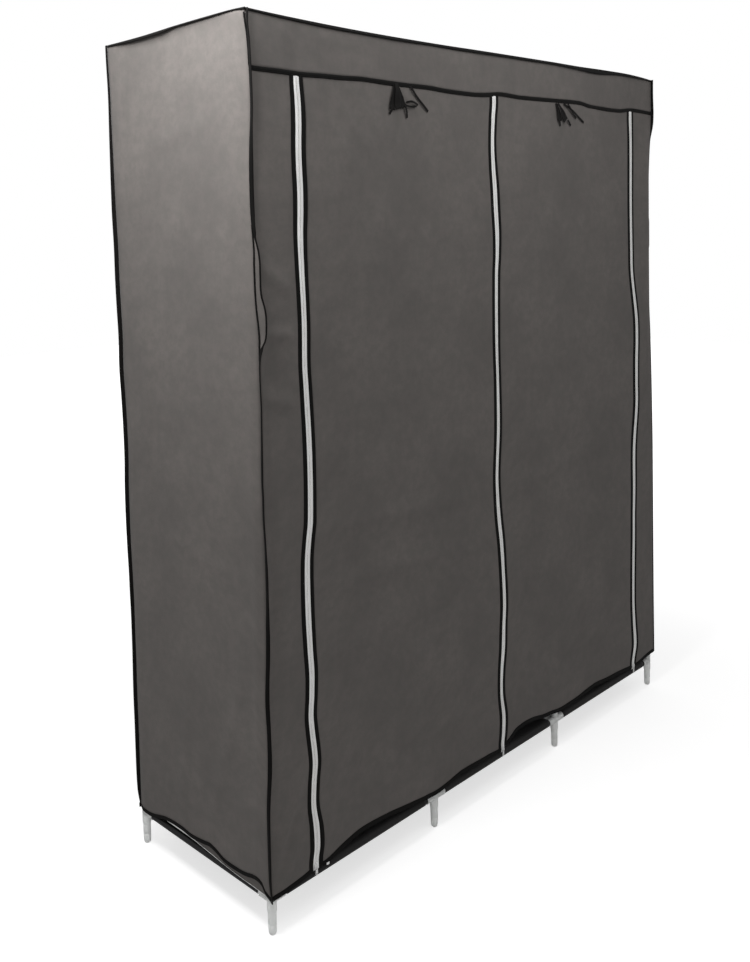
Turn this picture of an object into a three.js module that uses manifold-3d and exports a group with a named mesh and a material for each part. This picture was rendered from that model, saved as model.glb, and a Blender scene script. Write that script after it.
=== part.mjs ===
import * as THREE from 'three';
import { mergeVertices } from 'three/addons/utils/BufferGeometryUtils.js';
import Module from 'manifold-3d';

const wasm = await Module();
wasm.setup();

// A portable fabric wardrobe: a cloth cover with two zipped door flaps over a frame of steel tubes
// and plastic connectors. Millimetres, X to the right along the front, Y to the back, Z up.
// The origin is the middle of the footprint on the floor.

// Sizes of the whole cover
const coverWidth = 1500;
const coverDepth = 450;
const coverHeight = 1750;
const hemRise = 12;
const headerDrop = 104;
const zipInset = 122;

// Cloth, bound seams and the gap that separate pieces keep
const clothThickness = 1.2;
const seamReach = 3.5;
const cornerTapeWidth = 8;
const bindingWidth = 12;
const bindingThickness = 2;
const pieceGap = 0.3;
const foldDepth = 2.6;
const foldLean = 160;
const foldSpacing = 205;
const headerFoldShare = 0.5;
const tieWidth = 9;
const tieLength = 62;
const tieThickness = 1;

// Zips
const zipSlot = 1.4;
const zipTapeWidth = 6.5;
const zipTapeThickness = 1;
const zipCoilWidth = 2.2;
const zipCoilThickness = 1.4;
const endStopHeight = 3.2;
const endStopThickness = 2;
const sliderWidth = 11;
const sliderLength = 14;
const sliderNose = 7;
const sliderPlate = 0.8;
const sliderPost = 0.8;
const sliderPostLength = 5;
const archWidth = 2;
const archHalfLength = 2.6;
const archLeg = 0.9;
const pullWidth = 7;
const pullLength = 22;
const pullThickness = 0.8;
const pullClearance = 0.25;
const pullSlotWidth = 3.2;
const pullSlotLength = 3.5;
const pullHoleDiameter = 3.4;

// Frame tubes and connectors
const tubeDiameter = 16;
const tubeWall = 0.7;
const socketDiameter = 19;
const socketReach = 30;
const socketFloor = 10;
const baseTubeHeight = 72;
const footDiameter = 17.6;
const footTipDiameter = 12;
const footTipHeight = 4;
const footCollarHeight = 46;
const sliderRoom = 1.6;
const sleeveDiameter = 18.4;
const bareTubeLength = 6;
const railDrop = 45;
const railBracketThickness = 5;
const railClipWidth = 20;

const columnCount = 4;
const storeyCount = 4;
const roundSides = 8;
const doorColumns = 10;
const doorRows = 18;
const sideColumns = 6;
const sideRows = 14;
const stripColumns = 2;
const stripRows = 10;
const headerColumns = 20;
const headerRows = 3;
const tieSpread = THREE.MathUtils.degToRad(16);

const tubeRadius = tubeDiameter / 2;
const boreRadius = tubeRadius - tubeWall;
const socketRadius = socketDiameter / 2;
const socketBoreRadius = tubeRadius + pieceGap;
const tubeEndInset = socketFloor + pieceGap;

// The cloth's outer faces, the tube lines behind them and the heights of the frame
const panelX = coverWidth / 2 - seamReach;
const panelY = coverDepth / 2 - seamReach;
const panelZ = coverHeight - seamReach;
const clothEdgeX = coverWidth / 2 - cornerTapeWidth - pieceGap;
const clothEdgeY = coverDepth / 2 - cornerTapeWidth - pieceGap;
const clothEdgeZ = coverHeight - cornerTapeWidth - pieceGap;
const tubeInset = seamReach + clothThickness + sliderRoom + socketRadius;
const tubeX = coverWidth / 2 - tubeInset;
const tubeY = coverDepth / 2 - tubeInset;
const topTubeHeight = coverHeight - tubeInset;
const storeyHeight = (topTubeHeight - baseTubeHeight) / storeyCount;
const headerLow = coverHeight - headerDrop;
const hingeHeight = headerLow - pieceGap;
const hemHeight = baseTubeHeight + hemRise;
const hemTop = hemHeight + bindingWidth;
const clothMiddle = clothThickness / 2;
const zipX = coverWidth / 2 - zipInset;
const tapeStart = zipSlot / 2;
const tapeEnd = tapeStart + zipTapeWidth;
const zipBindingStart = tapeEnd + pieceGap;
const zipBindingEnd = zipBindingStart + bindingWidth;
const zipClothStart = zipBindingEnd + pieceGap;

// Layers of the slider and its pull, measured outwards from the middle of the cloth
const plateBack = zipCoilThickness / 2 + pieceGap;
const plateFront = plateBack + sliderPlate;
const tabBack = plateFront + pullClearance;
const tabFront = tabBack + pullThickness;
const archBack = tabFront + pullClearance;
const archFront = archBack + sliderPlate;
const sliderHeight = hemHeight + endStopHeight + pieceGap * 2 + sliderLength / 2;

const materials = {
  cloth: new THREE.MeshStandardMaterial({ color: 0x4a4a4b, roughness: 0.85, metalness: 0 }),
  binding: new THREE.MeshStandardMaterial({ color: 0x0d0d0e, roughness: 0.8, metalness: 0 }),
  shelfCloth: new THREE.MeshStandardMaterial({ color: 0x161617, roughness: 0.75, metalness: 0 }),
  zipTape: new THREE.MeshStandardMaterial({ color: 0xd9d9d6, roughness: 0.7, metalness: 0 }),
  zipMetal: new THREE.MeshStandardMaterial({ color: 0xbfc0c2, roughness: 0.3, metalness: 0.9 }),
  tube: new THREE.MeshStandardMaterial({ color: 0x131314, roughness: 0.45, metalness: 0.5 }),
  connector: new THREE.MeshStandardMaterial({ color: 0xc4c6c4, roughness: 0.45, metalness: 0 }),
};

const wardrobe = new THREE.Group();

// Solids and meshes

function solidOf(geometry) {
  const bare = geometry.index ? geometry.clone() : geometry;
  bare.deleteAttribute('normal');
  bare.deleteAttribute('uv');
  const merged = mergeVertices(bare);
  return new wasm.Manifold(new wasm.Mesh({
    numProp: 3,
    vertProperties: new Float32Array(merged.attributes.position.array),
    triVerts: new Uint32Array(merged.index.array),
  }));
}

function geometryOf(solid) {
  const mesh = solid.getMesh();
  const geometry = new THREE.BufferGeometry();
  geometry.setAttribute('position', new THREE.BufferAttribute(mesh.vertProperties, mesh.numProp));
  geometry.setIndex(new THREE.BufferAttribute(mesh.triVerts, 1));
  geometry.computeVertexNormals();
  return geometry;
}

function join(solids) {
  return solids.reduce((whole, solid) => whole.add(solid));
}

function addPiece(name, shape, material) {
  const geometry = shape.isBufferGeometry ? shape : geometryOf(shape);
  const mesh = new THREE.Mesh(geometry, material);
  mesh.name = name;
  wardrobe.add(mesh);
}

// A pair of limits as they are on the right, or mirrored to the left where side is -1
function mirrored([low, high], side) {
  return side < 0 ? [-high, -low] : [low, high];
}

// A box between two limits along each axis
function block([x0, x1], [y0, y1], [z0, z1]) {
  const geometry = new THREE.BoxGeometry(x1 - x0, y1 - y0, z1 - z0);
  geometry.translate((x0 + x1) / 2, (y0 + y1) / 2, (z0 + z1) / 2);
  return solidOf(geometry);
}

// A round bar along one axis, from one end to the other, through the point given
function rod(axis, radius, from, to, [x, y, z]) {
  const geometry = new THREE.CylinderGeometry(radius, radius, Math.abs(to - from), roundSides);
  const middle = (from + to) / 2;
  if (axis === 'x') geometry.rotateZ(Math.PI / 2).translate(middle, y, z);
  if (axis === 'y') geometry.translate(x, middle, z);
  if (axis === 'z') geometry.rotateX(Math.PI / 2).translate(x, y, middle);
  return solidOf(geometry);
}

function hollowTube(axis, from, to, place) {
  const bore = rod(axis, boreRadius, from - tubeWall, to + tubeWall, place);
  return rod(axis, tubeRadius, from, to, place).subtract(bore);
}

// A closed sheet of cloth from a grid: surface gives the outer face's point and inner the step to its back
function clothSheet(columns, rows, surface, inner) {
  const positions = [];
  const triangles = [];
  const layer = (columns + 1) * (rows + 1);
  for (const depth of [0, 1]) {
    for (let row = 0; row <= rows; row++) {
      for (let column = 0; column <= columns; column++) {
        const point = surface(column / columns, row / rows);
        positions.push(...point.map((value, axis) => value + inner[axis] * depth));
      }
    }
  }
  const at = (column, row, depth) => depth * layer + row * (columns + 1) + column;
  const quad = (a, b, c, d) => triangles.push(a, c, b, a, d, c);
  for (let row = 0; row < rows; row++) {
    for (let column = 0; column < columns; column++) {
      quad(at(column, row, 0), at(column + 1, row, 0), at(column + 1, row + 1, 0), at(column, row + 1, 0));
      quad(at(column, row, 1), at(column, row + 1, 1), at(column + 1, row + 1, 1), at(column + 1, row, 1));
    }
  }
  for (let column = 0; column < columns; column++) {
    quad(at(column, 0, 0), at(column, 0, 1), at(column + 1, 0, 1), at(column + 1, 0, 0));
    quad(at(column, rows, 0), at(column + 1, rows, 0), at(column + 1, rows, 1), at(column, rows, 1));
  }
  for (let row = 0; row < rows; row++) {
    quad(at(0, row, 0), at(0, row + 1, 0), at(0, row + 1, 1), at(0, row, 1));
    quad(at(columns, row, 0), at(columns, row, 1), at(columns, row + 1, 1), at(columns, row + 1, 0));
  }
  const geometry = new THREE.BufferGeometry();
  geometry.setAttribute('position', new THREE.Float32BufferAttribute(positions, 3));
  geometry.setIndex(triangles);
  geometry.computeVertexNormals();
  return geometry;
}

// Soft folds of hanging cloth: they fade out along every edge and only bulge outwards
function foldOf(across, down, width) {
  const edge = Math.sin(Math.PI * across) * Math.sin(Math.PI * Math.min(1, down * down));
  const phase = (across * width + down * foldLean) / foldSpacing;
  return foldDepth * edge * (0.5 + 0.5 * Math.sin(2 * Math.PI * phase));
}

// Frame

const columnPlaces = Array.from({ length: columnCount }, (_, index) => (
  -tubeX + (2 * tubeX * index) / (columnCount - 1)
));
const levelHeights = Array.from({ length: storeyCount + 1 }, (_, index) => (
  baseTubeHeight + storeyHeight * index
));
const rows = [{ side: 'front', y: -tubeY, inward: 1 }, { side: 'back', y: tubeY, inward: -1 }];
const middleLevel = storeyCount / 2;
const innerColumns = [1, columnCount - 2];

function isInner(column) {
  return innerColumns.includes(column);
}

// One arm of a connector and the bore that takes a tube's end
function socketArm(axis, direction, [x, y, z]) {
  const centre = { x, y, z }[axis];
  const end = centre + direction * socketReach;
  const mouth = end + direction * pieceGap;
  const floor = centre + direction * socketFloor;
  const place = [x, y, z];
  return {
    body: rod(axis, socketRadius, Math.min(centre, end), Math.max(centre, end), place),
    bore: rod(axis, socketBoreRadius, Math.min(floor, mouth), Math.max(floor, mouth), place),
  };
}

function withArms(body, arms) {
  const joined = join([body, ...arms.map((arm) => arm.body)]);
  return arms.reduce((whole, arm) => whole.subtract(arm.bore), joined);
}

// The sideways arms that a column's base and top connectors need
function sideArms(column, row, height) {
  const place = [columnPlaces[column], row.y, height];
  const arms = [socketArm('y', row.inward, place)];
  if (column > 0) arms.push(socketArm('x', -1, place));
  if (column < columnCount - 1) arms.push(socketArm('x', 1, place));
  return arms;
}

function footConnector(column, row) {
  const place = [columnPlaces[column], row.y, baseTubeHeight];
  const profile = [
    new THREE.Vector2(0, 0),
    new THREE.Vector2(footTipDiameter / 2, 0),
    new THREE.Vector2(footDiameter / 2, footTipHeight),
    new THREE.Vector2(footDiameter / 2, footCollarHeight),
    new THREE.Vector2(socketRadius, footCollarHeight),
    new THREE.Vector2(socketRadius, baseTubeHeight),
    new THREE.Vector2(0, baseTubeHeight),
  ];
  const peg = new THREE.LatheGeometry(profile, roundSides).rotateX(Math.PI / 2);
  peg.translate(place[0], place[1], 0);
  return withArms(solidOf(peg), [socketArm('z', 1, place), ...sideArms(column, row, baseTubeHeight)]);
}

// An upright with the straight and tee connectors on it: tees where shelf or side tubes join
function upright(column, row) {
  const x = columnPlaces[column];
  const from = baseTubeHeight + tubeEndInset;
  const to = topTubeHeight - tubeEndInset;
  const arms = [];
  const sleeves = [];
  levelHeights.slice(1, -1).forEach((height, index) => {
    const place = [x, row.y, height];
    sleeves.push(rod('z', socketRadius, height - socketReach, height + socketReach, place));
    if (isInner(column)) arms.push(socketArm('x', Math.sign(-x), place));
    if (isInner(column) || index + 1 === middleLevel) arms.push(socketArm('y', row.inward, place));
  });
  const bore = rod('z', boreRadius, from - tubeWall, to + tubeWall, [x, row.y, 0]);
  return withArms(join([rod('z', tubeRadius, from, to, [x, row.y, 0]), ...sleeves]), arms).subtract(bore);
}

// The long top tube of one side, with the connectors that sit on its uprights
function topTube(row) {
  const place = [0, row.y, topTubeHeight];
  const end = clothEdgeX;
  const arms = columnPlaces.flatMap((x) => [
    socketArm('z', -1, [x, row.y, topTubeHeight]),
    socketArm('y', row.inward, [x, row.y, topTubeHeight]),
  ]);
  const collars = columnPlaces.map((x) => rod(
    'x',
    socketRadius,
    Math.max(x - socketReach, -end),
    Math.min(x + socketReach, end),
    place,
  ));
  const bore = rod('x', boreRadius, -end - tubeWall, end + tubeWall, place);
  return withArms(join([rod('x', tubeRadius, -end, end, place), ...collars]), arms).subtract(bore);
}

function crossTube(x, height) {
  return hollowTube('y', -tubeY + tubeEndInset, tubeY - tubeEndInset, [x, 0, height]);
}

// A cloth shelf with the front and back tubes in its sleeves, and in the middle bay its cross tubes
function shelf(leftColumn, height, hasCrossTubes) {
  const left = columnPlaces[leftColumn];
  const right = columnPlaces[leftColumn + 1];
  const sleeveInset = socketReach + bareTubeLength;
  const clothSpan = [left + sleeveInset, right - sleeveInset];
  const clothZ = [height + tubeRadius - clothThickness, height + tubeRadius];
  const pieces = [block(clothSpan, [-tubeY, tubeY], clothZ)];
  for (const row of rows) {
    const place = [0, row.y, height];
    pieces.push(rod('x', tubeRadius, left + tubeEndInset, right - tubeEndInset, place));
    pieces.push(rod('x', sleeveDiameter / 2, ...clothSpan, place));
  }
  if (hasCrossTubes) {
    pieces.push(block([left, right], [-tubeY + sleeveInset, tubeY - sleeveInset], clothZ));
    for (const x of [left, right]) {
      pieces.push(rod('y', tubeRadius, -tubeY + tubeEndInset, tubeY - tubeEndInset, [x, 0, height]));
    }
  }
  return join(pieces);
}

// A hanging rail on two brackets that clip round the top cross tubes
function hangingRail(leftColumn) {
  const ends = [columnPlaces[leftColumn], columnPlaces[leftColumn + 1]];
  const railHeight = topTubeHeight - railDrop;
  const clipSpan = [-railClipWidth / 2, railClipWidth / 2];
  const pieces = [rod('x', tubeRadius, ...ends, [0, 0, railHeight])];
  const bores = [rod('x', boreRadius, ends[0] - socketRadius, ends[1] + socketRadius, [0, 0, railHeight])];
  for (const x of ends) {
    const webSpan = [x - railBracketThickness / 2, x + railBracketThickness / 2];
    pieces.push(block(webSpan, clipSpan, [railHeight - tubeRadius, topTubeHeight]));
    pieces.push(rod('y', socketRadius, ...clipSpan, [x, 0, topTubeHeight]));
    bores.push(rod('y', socketBoreRadius, -railClipWidth, railClipWidth, [x, 0, topTubeHeight]));
  }
  return bores.reduce((whole, bore) => whole.subtract(bore), join(pieces));
}

function addFrame() {
  for (const row of rows) {
    columnPlaces.forEach((x, column) => {
      addPiece(`foot_${row.side}_${column + 1}`, footConnector(column, row), materials.connector);
      addPiece(`upright_${row.side}_${column + 1}`, upright(column, row), materials.tube);
    });
    addPiece(`top_${row.side}_tube`, topTube(row), materials.tube);
  }
  columnPlaces.forEach((x, column) => {
    addPiece(`top_cross_tube_${column + 1}`, crossTube(x, topTubeHeight), materials.tube);
  });
  for (const [side, column] of [['left', 0], ['right', columnCount - 1]]) {
    const inwardColumn = Math.min(column, columnCount - 2);
    const x = columnPlaces[column];
    addPiece(`base_${side}_tube`, crossTube(x, baseTubeHeight), materials.tube);
    addPiece(`middle_${side}_tube`, crossTube(x, levelHeights[middleLevel]), materials.tube);
    addPiece(`rail_${side}`, hangingRail(inwardColumn), materials.tube);
    addPiece(`shelf_${side}_base`, shelf(inwardColumn, baseTubeHeight, false), materials.shelfCloth);
  }
  levelHeights.slice(0, -1).forEach((height, index) => {
    addPiece(`shelf_middle_${index + 1}`, shelf(innerColumns[0], height, true), materials.shelfCloth);
  });
}

// Cover

// The limits in Y of a flat layer in the front wall, centred on its cloth
function frontLayer(thickness) {
  const middle = -panelY + clothMiddle;
  return [middle - thickness / 2, middle + thickness / 2];
}

// The black tape over the roof edges, the four corners, the header seam, the hem and the zip edges
function coverBinding() {
  const halfX = coverWidth / 2;
  const halfY = coverDepth / 2;
  const lowX = halfX - cornerTapeWidth;
  const lowY = halfY - cornerTapeWidth;
  const roofZ = [coverHeight - cornerTapeWidth, coverHeight];
  const hemZ = [hemHeight, hemTop];
  const front = frontLayer(bindingThickness);
  const sideMiddle = panelX - clothMiddle;
  const sideDepth = [sideMiddle - bindingThickness / 2, sideMiddle + bindingThickness / 2];
  const pieces = [block([-lowX, lowX], [-front[1], -front[0]], hemZ)];
  for (const side of [-1, 1]) {
    const edgeX = mirrored([lowX, halfX], side);
    const edgeY = mirrored([lowY, halfY], side);
    const hemX = mirrored(sideDepth, side);
    const zipEdge = mirrored([zipX + zipBindingStart, zipX + zipBindingEnd], side);
    const stripHem = [Math.min(zipEdge[0], side * lowX), Math.max(zipEdge[1], side * lowX)];
    pieces.push(block([-halfX, halfX], edgeY, roofZ), block(edgeX, [-halfY, halfY], roofZ));
    pieces.push(block(edgeX, [-halfY, -lowY], [hemHeight, coverHeight]));
    pieces.push(block(edgeX, [lowY, halfY], [hemHeight, coverHeight]));
    pieces.push(block(hemX, [-lowY, lowY], hemZ), block(stripHem, front, hemZ));
    pieces.push(block(zipEdge, front, [hemHeight, headerLow + bindingWidth]));
  }
  pieces.push(block([-lowX, lowX], front, [headerLow, headerLow + bindingWidth]));
  return join(pieces);
}

// One sheet in the front wall, folded by the share of the fold depth given
function frontSheet([x0, x1], [z0, z1], columns, rowsDown, foldShare) {
  const place = (across, down) => [
    x0 + (x1 - x0) * across,
    -panelY - foldShare * foldOf(across, down, x1 - x0),
    z1 - (z1 - z0) * down,
  ];
  return clothSheet(columns, rowsDown, place, [0, clothThickness, 0]);
}

function addPanels() {
  const hemEdge = hemTop + pieceGap;
  const wallZ = [hemEdge, clothEdgeZ];
  const seamEdge = headerLow + bindingWidth + pieceGap;
  const stripX = [zipX + zipClothStart, clothEdgeX];
  const foldedSide = clothSheet(sideColumns, sideRows, (across, down) => [
    -panelX - foldOf(across, down, clothEdgeY * 2),
    clothEdgeY - clothEdgeY * 2 * across,
    clothEdgeZ - (clothEdgeZ - hemEdge) * down,
  ], [clothThickness, 0, 0]);
  const plainBack = block([-clothEdgeX, clothEdgeX], [panelY - clothThickness, panelY], wallZ);
  const plainSide = block([panelX - clothThickness, panelX], [-clothEdgeY, clothEdgeY], wallZ);
  const roofZ = [panelZ - clothThickness, panelZ];
  const headerZ = [seamEdge, clothEdgeZ];
  const header = frontSheet([-clothEdgeX, clothEdgeX], headerZ, headerColumns, headerRows, headerFoldShare);
  const leftStrip = frontSheet([-stripX[1], -stripX[0]], [hemEdge, hingeHeight], stripColumns, stripRows, 1);
  const rightStrip = frontSheet(stripX, [hemEdge, hingeHeight], stripColumns, stripRows, 1);
  addPiece('cover_left_side', foldedSide, materials.cloth);
  addPiece('cover_right_side', plainSide, materials.cloth);
  addPiece('cover_back', plainBack, materials.cloth);
  addPiece('cover_roof', block([-clothEdgeX, clothEdgeX], [-clothEdgeY, clothEdgeY], roofZ), materials.cloth);
  addPiece('cover_header', header, materials.cloth);
  addPiece('cover_left_strip', leftStrip, materials.cloth);
  addPiece('cover_right_strip', rightStrip, materials.cloth);
  addPiece('cover_binding', coverBinding(), materials.binding);
}

// A door flap hangs from the header seam between two zips
function addDoor(side, leftZip, rightZip) {
  const left = leftZip + zipBindingStart;
  const right = rightZip - zipBindingStart;
  const front = frontLayer(bindingThickness);
  const clothX = [leftZip + zipClothStart, rightZip - zipClothStart];
  const cloth = frontSheet(clothX, [hemTop + pieceGap, hingeHeight], doorColumns, doorRows, 1);
  const binding = join([
    block([left, left + bindingWidth], front, [hemHeight, hingeHeight]),
    block([right - bindingWidth, right], front, [hemHeight, hingeHeight]),
    block([left, right], front, [hemHeight, hemTop]),
  ]);
  addPiece(`${side}_door`, cloth, materials.cloth);
  addPiece(`${side}_door_binding`, binding, materials.binding);
  addPiece(`${side}_tie`, tie((clothX[0] + clothX[1]) / 2), materials.binding);
}

// Two ribbon tails that spread from one point just under the header seam
function tie(x) {
  const top = hingeHeight - tieWidth / 2;
  const tails = [-1, 1].map((side) => {
    const ribbon = new THREE.BoxGeometry(tieWidth, tieThickness, tieLength);
    ribbon.translate(0, 0, -tieLength / 2).rotateY(-side * tieSpread);
    return solidOf(ribbon.translate(x, -panelY - pieceGap - tieThickness / 2, top));
  });
  return join(tails);
}

// Half of a zip: tape, coil edge and the stops at both ends. side is -1 left of the slot, 1 right of it
function zipHalf(zipPlace, side) {
  const span = (from, to) => mirrored([from, to], side).map((value) => zipPlace + value);
  const coilEnd = tapeStart + zipCoilWidth;
  const ends = [[hemHeight, hemHeight + endStopHeight], [hingeHeight - endStopHeight, hingeHeight]];
  const pieces = [
    block(span(tapeStart, tapeEnd), frontLayer(zipTapeThickness), [hemHeight, hingeHeight]),
    block(span(tapeStart, coilEnd), frontLayer(zipCoilThickness), [hemHeight, hingeHeight]),
    ...ends.map((end) => block(span(tapeStart, coilEnd), frontLayer(endStopThickness), end)),
  ];
  return join(pieces);
}

// A flat piece in the front wall, extruded along Y from an outline in X and Z
function frontPlate(shape, back, front, x, z) {
  const settings = { depth: front - back, bevelEnabled: false, curveSegments: 6 };
  const geometry = new THREE.ExtrudeGeometry(shape, settings).rotateX(Math.PI / 2);
  return solidOf(geometry.translate(x, -panelY + clothMiddle - back, z));
}

function sliderOutline() {
  const halfWidth = sliderWidth / 2;
  const halfNose = sliderNose / 2;
  const halfLength = sliderLength / 2;
  return new THREE.Shape([
    new THREE.Vector2(-halfNose, -halfLength),
    new THREE.Vector2(halfNose, -halfLength),
    new THREE.Vector2(halfWidth, 0),
    new THREE.Vector2(halfWidth, halfLength),
    new THREE.Vector2(-halfWidth, halfLength),
    new THREE.Vector2(-halfWidth, 0),
  ]);
}

function slider(x) {
  const outer = (offset) => -panelY + clothMiddle - offset;
  const post = [x - sliderPost / 2, x + sliderPost / 2];
  const postZ = [sliderHeight - sliderPostLength / 2, sliderHeight + sliderPostLength / 2];
  const arch = [x - archWidth / 2, x + archWidth / 2];
  const archZ = [sliderHeight - archHalfLength, sliderHeight + archHalfLength];
  return join([
    frontPlate(sliderOutline(), plateBack, plateFront, x, sliderHeight),
    frontPlate(sliderOutline(), -plateFront, -plateBack, x, sliderHeight),
    block(post, [outer(plateFront), outer(-plateFront)], postZ),
    block(arch, [outer(archFront), outer(archBack)], archZ),
    block(arch, [outer(archFront), outer(plateBack)], [archZ[0], archZ[0] + archLeg]),
    block(arch, [outer(archFront), outer(plateBack)], [archZ[1] - archLeg, archZ[1]]),
  ]);
}

// The pull hangs on its cross bar, with a slot that the slider's arch passes through
function pull(x) {
  const halfBar = pullThickness / 2;
  const halfWidth = pullWidth / 2;
  const low = halfBar - pullLength;
  const outline = new THREE.Shape();
  outline.moveTo(-halfWidth, halfBar);
  outline.lineTo(-halfWidth, low + halfWidth);
  outline.absarc(0, low + halfWidth, halfWidth, Math.PI, Math.PI * 2);
  outline.lineTo(halfWidth, halfBar);
  const slot = new THREE.Path([
    new THREE.Vector2(-pullSlotWidth / 2, -halfBar),
    new THREE.Vector2(-pullSlotWidth / 2, -halfBar - pullSlotLength),
    new THREE.Vector2(pullSlotWidth / 2, -halfBar - pullSlotLength),
    new THREE.Vector2(pullSlotWidth / 2, -halfBar),
  ]);
  const hole = new THREE.Path();
  hole.absarc(0, low + halfWidth, pullHoleDiameter / 2, 0, Math.PI * 2);
  outline.holes.push(slot, hole);
  return frontPlate(outline, tabBack, tabFront, x, sliderHeight);
}

function addZips() {
  for (const [name, x] of [['left', -zipX], ['centre', 0], ['right', zipX]]) {
    addPiece(`zip_${name}_tape_a`, zipHalf(x, -1), materials.zipTape);
    addPiece(`zip_${name}_tape_b`, zipHalf(x, 1), materials.zipTape);
    addPiece(`zip_${name}_slider`, slider(x), materials.zipMetal);
    addPiece(`zip_${name}_pull`, pull(x), materials.zipMetal);
  }
}

addFrame();
addPanels();
addDoor('left', -zipX, 0);
addDoor('right', 0, zipX);
addZips();

export default wardrobe;
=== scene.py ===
import bisect
import math

import bmesh
import bpy
from mathutils import Matrix, Vector, noise


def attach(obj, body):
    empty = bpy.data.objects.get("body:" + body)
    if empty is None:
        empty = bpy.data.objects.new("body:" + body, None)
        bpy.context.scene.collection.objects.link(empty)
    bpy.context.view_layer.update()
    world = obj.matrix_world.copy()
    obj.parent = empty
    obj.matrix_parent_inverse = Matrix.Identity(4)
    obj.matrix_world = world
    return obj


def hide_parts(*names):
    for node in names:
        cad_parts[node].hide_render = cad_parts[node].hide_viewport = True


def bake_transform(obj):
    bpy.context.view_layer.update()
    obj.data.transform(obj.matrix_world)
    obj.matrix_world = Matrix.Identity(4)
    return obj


# A portable fabric wardrobe: a charcoal cover with bound seams and two zipped doors,
# over a frame of steel tubes in plastic connectors. Metres, X along the front, Y to the back.

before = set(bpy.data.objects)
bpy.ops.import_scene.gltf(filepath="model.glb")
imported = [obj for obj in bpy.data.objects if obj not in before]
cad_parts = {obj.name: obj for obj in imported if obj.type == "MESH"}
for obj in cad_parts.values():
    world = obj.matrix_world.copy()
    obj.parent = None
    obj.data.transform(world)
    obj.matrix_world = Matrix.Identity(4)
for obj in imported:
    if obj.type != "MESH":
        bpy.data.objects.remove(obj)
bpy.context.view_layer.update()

cameraPlace = {"at": (-1.9383, -1.6142, 1.3464), "turn": (86.44, 1.468, -43.37),
               "lens": 37.49, "shift": (0.0766, -0.1941)}

lens = bpy.data.cameras.new("camera")
lens.lens = cameraPlace["lens"]
lens.shift_x, lens.shift_y = cameraPlace["shift"]
camera = bpy.data.objects.new("camera", lens)
camera.location = cameraPlace["at"]
camera.rotation_euler = [math.radians(angle) for angle in cameraPlace["turn"]]
bpy.context.scene.collection.objects.link(camera)
bpy.context.scene.camera = camera
bpy.context.scene.view_settings.view_transform = "Standard"
print("camera placed")


# Small helpers for numbers

def ease(share):
    share = min(1.0, max(0.0, share))
    return share * share * (3 - 2 * share)


def mix(low, high, share):
    return low + (high - low) * share


def bump(distance, width):
    return math.exp(-(distance / width) ** 2)


def ripple(x, y, seed):
    return noise.noise(Vector((x, y, seed)))


def curveThrough(pairs):
    # a smooth line through (place, value) pairs, flat beyond both ends
    places = [place for place, value in pairs]
    values = [value for place, value in pairs]
    slopes = []
    for index in range(len(pairs)):
        before, after = max(index - 1, 0), min(index + 1, len(pairs) - 1)
        slopes.append((values[after] - values[before]) / (places[after] - places[before]))

    def read(at):
        if at <= places[0]:
            return values[0]
        if at >= places[-1]:
            return values[-1]
        index = bisect.bisect_right(places, at) - 1
        step = places[index + 1] - places[index]
        t = (at - places[index]) / step
        low = (2 * t ** 3 - 3 * t ** 2 + 1) * values[index] + (t ** 3 - 2 * t ** 2 + t) * step * slopes[index]
        high = (3 * t ** 2 - 2 * t ** 3) * values[index + 1] + (t ** 3 - t ** 2) * step * slopes[index + 1]
        return low + high

    return read


# Small helpers for shader nodes

def addNode(tree, kind, inputs=None, **settings):
    made = tree.nodes.new(kind)
    for name, value in settings.items():
        setattr(made, name, value)
    for name, value in (inputs or {}).items():
        if isinstance(value, bpy.types.NodeSocket):
            tree.links.new(value, made.inputs[name])
        else:
            made.inputs[name].default_value = value
    return made


def calc(tree, operation, *values):
    inputs = {index: value for index, value in enumerate(values)}
    return addNode(tree, "ShaderNodeMath", inputs, operation=operation).outputs[0]


def rangeOf(tree, value, fromLow, fromHigh, toLow=0.0, toHigh=1.0):
    inputs = {"Value": value, "From Min": fromLow, "From Max": fromHigh, "To Min": toLow, "To Max": toHigh}
    return addNode(tree, "ShaderNodeMapRange", inputs, interpolation_type="SMOOTHSTEP").outputs["Result"]


def blendColour(tree, share, first, second):
    return addNode(tree, "ShaderNodeMix", {0: share, 6: first, 7: second}, data_type="RGBA").outputs[2]


def placed(tree, vector, scale, turn):
    inputs = {"Vector": vector, "Scale": scale, "Rotation": (0, 0, math.radians(turn))}
    return addNode(tree, "ShaderNodeMapping", inputs).outputs["Vector"]


def noiseOf(tree, vector, scale, detail=2.0, roughness=0.5):
    inputs = {"Vector": vector, "Scale": scale, "Detail": detail, "Roughness": roughness}
    return addNode(tree, "ShaderNodeTexNoise", inputs).outputs["Fac"]


def startGroup(name, inputs, outputs):
    tree = bpy.data.node_groups.new(name, "ShaderNodeTree")
    for label, kind, value in inputs:
        socket = tree.interface.new_socket(label, in_out="INPUT", socket_type="NodeSocket" + kind)
        if value is not None:
            socket.default_value = value
    for label in outputs:
        tree.interface.new_socket(label, in_out="OUTPUT", socket_type="NodeSocketFloat")
    return tree, tree.nodes.new("NodeGroupInput").outputs, tree.nodes.new("NodeGroupOutput").inputs


def putOut(tree, take, **results):
    for label, value in results.items():
        tree.links.new(value, take[label])
    return tree


def useGroup(tree, group, **inputs):
    return addNode(tree, "ShaderNodeGroup", inputs, node_tree=group).outputs


# Surface effects that several finishes share

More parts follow.
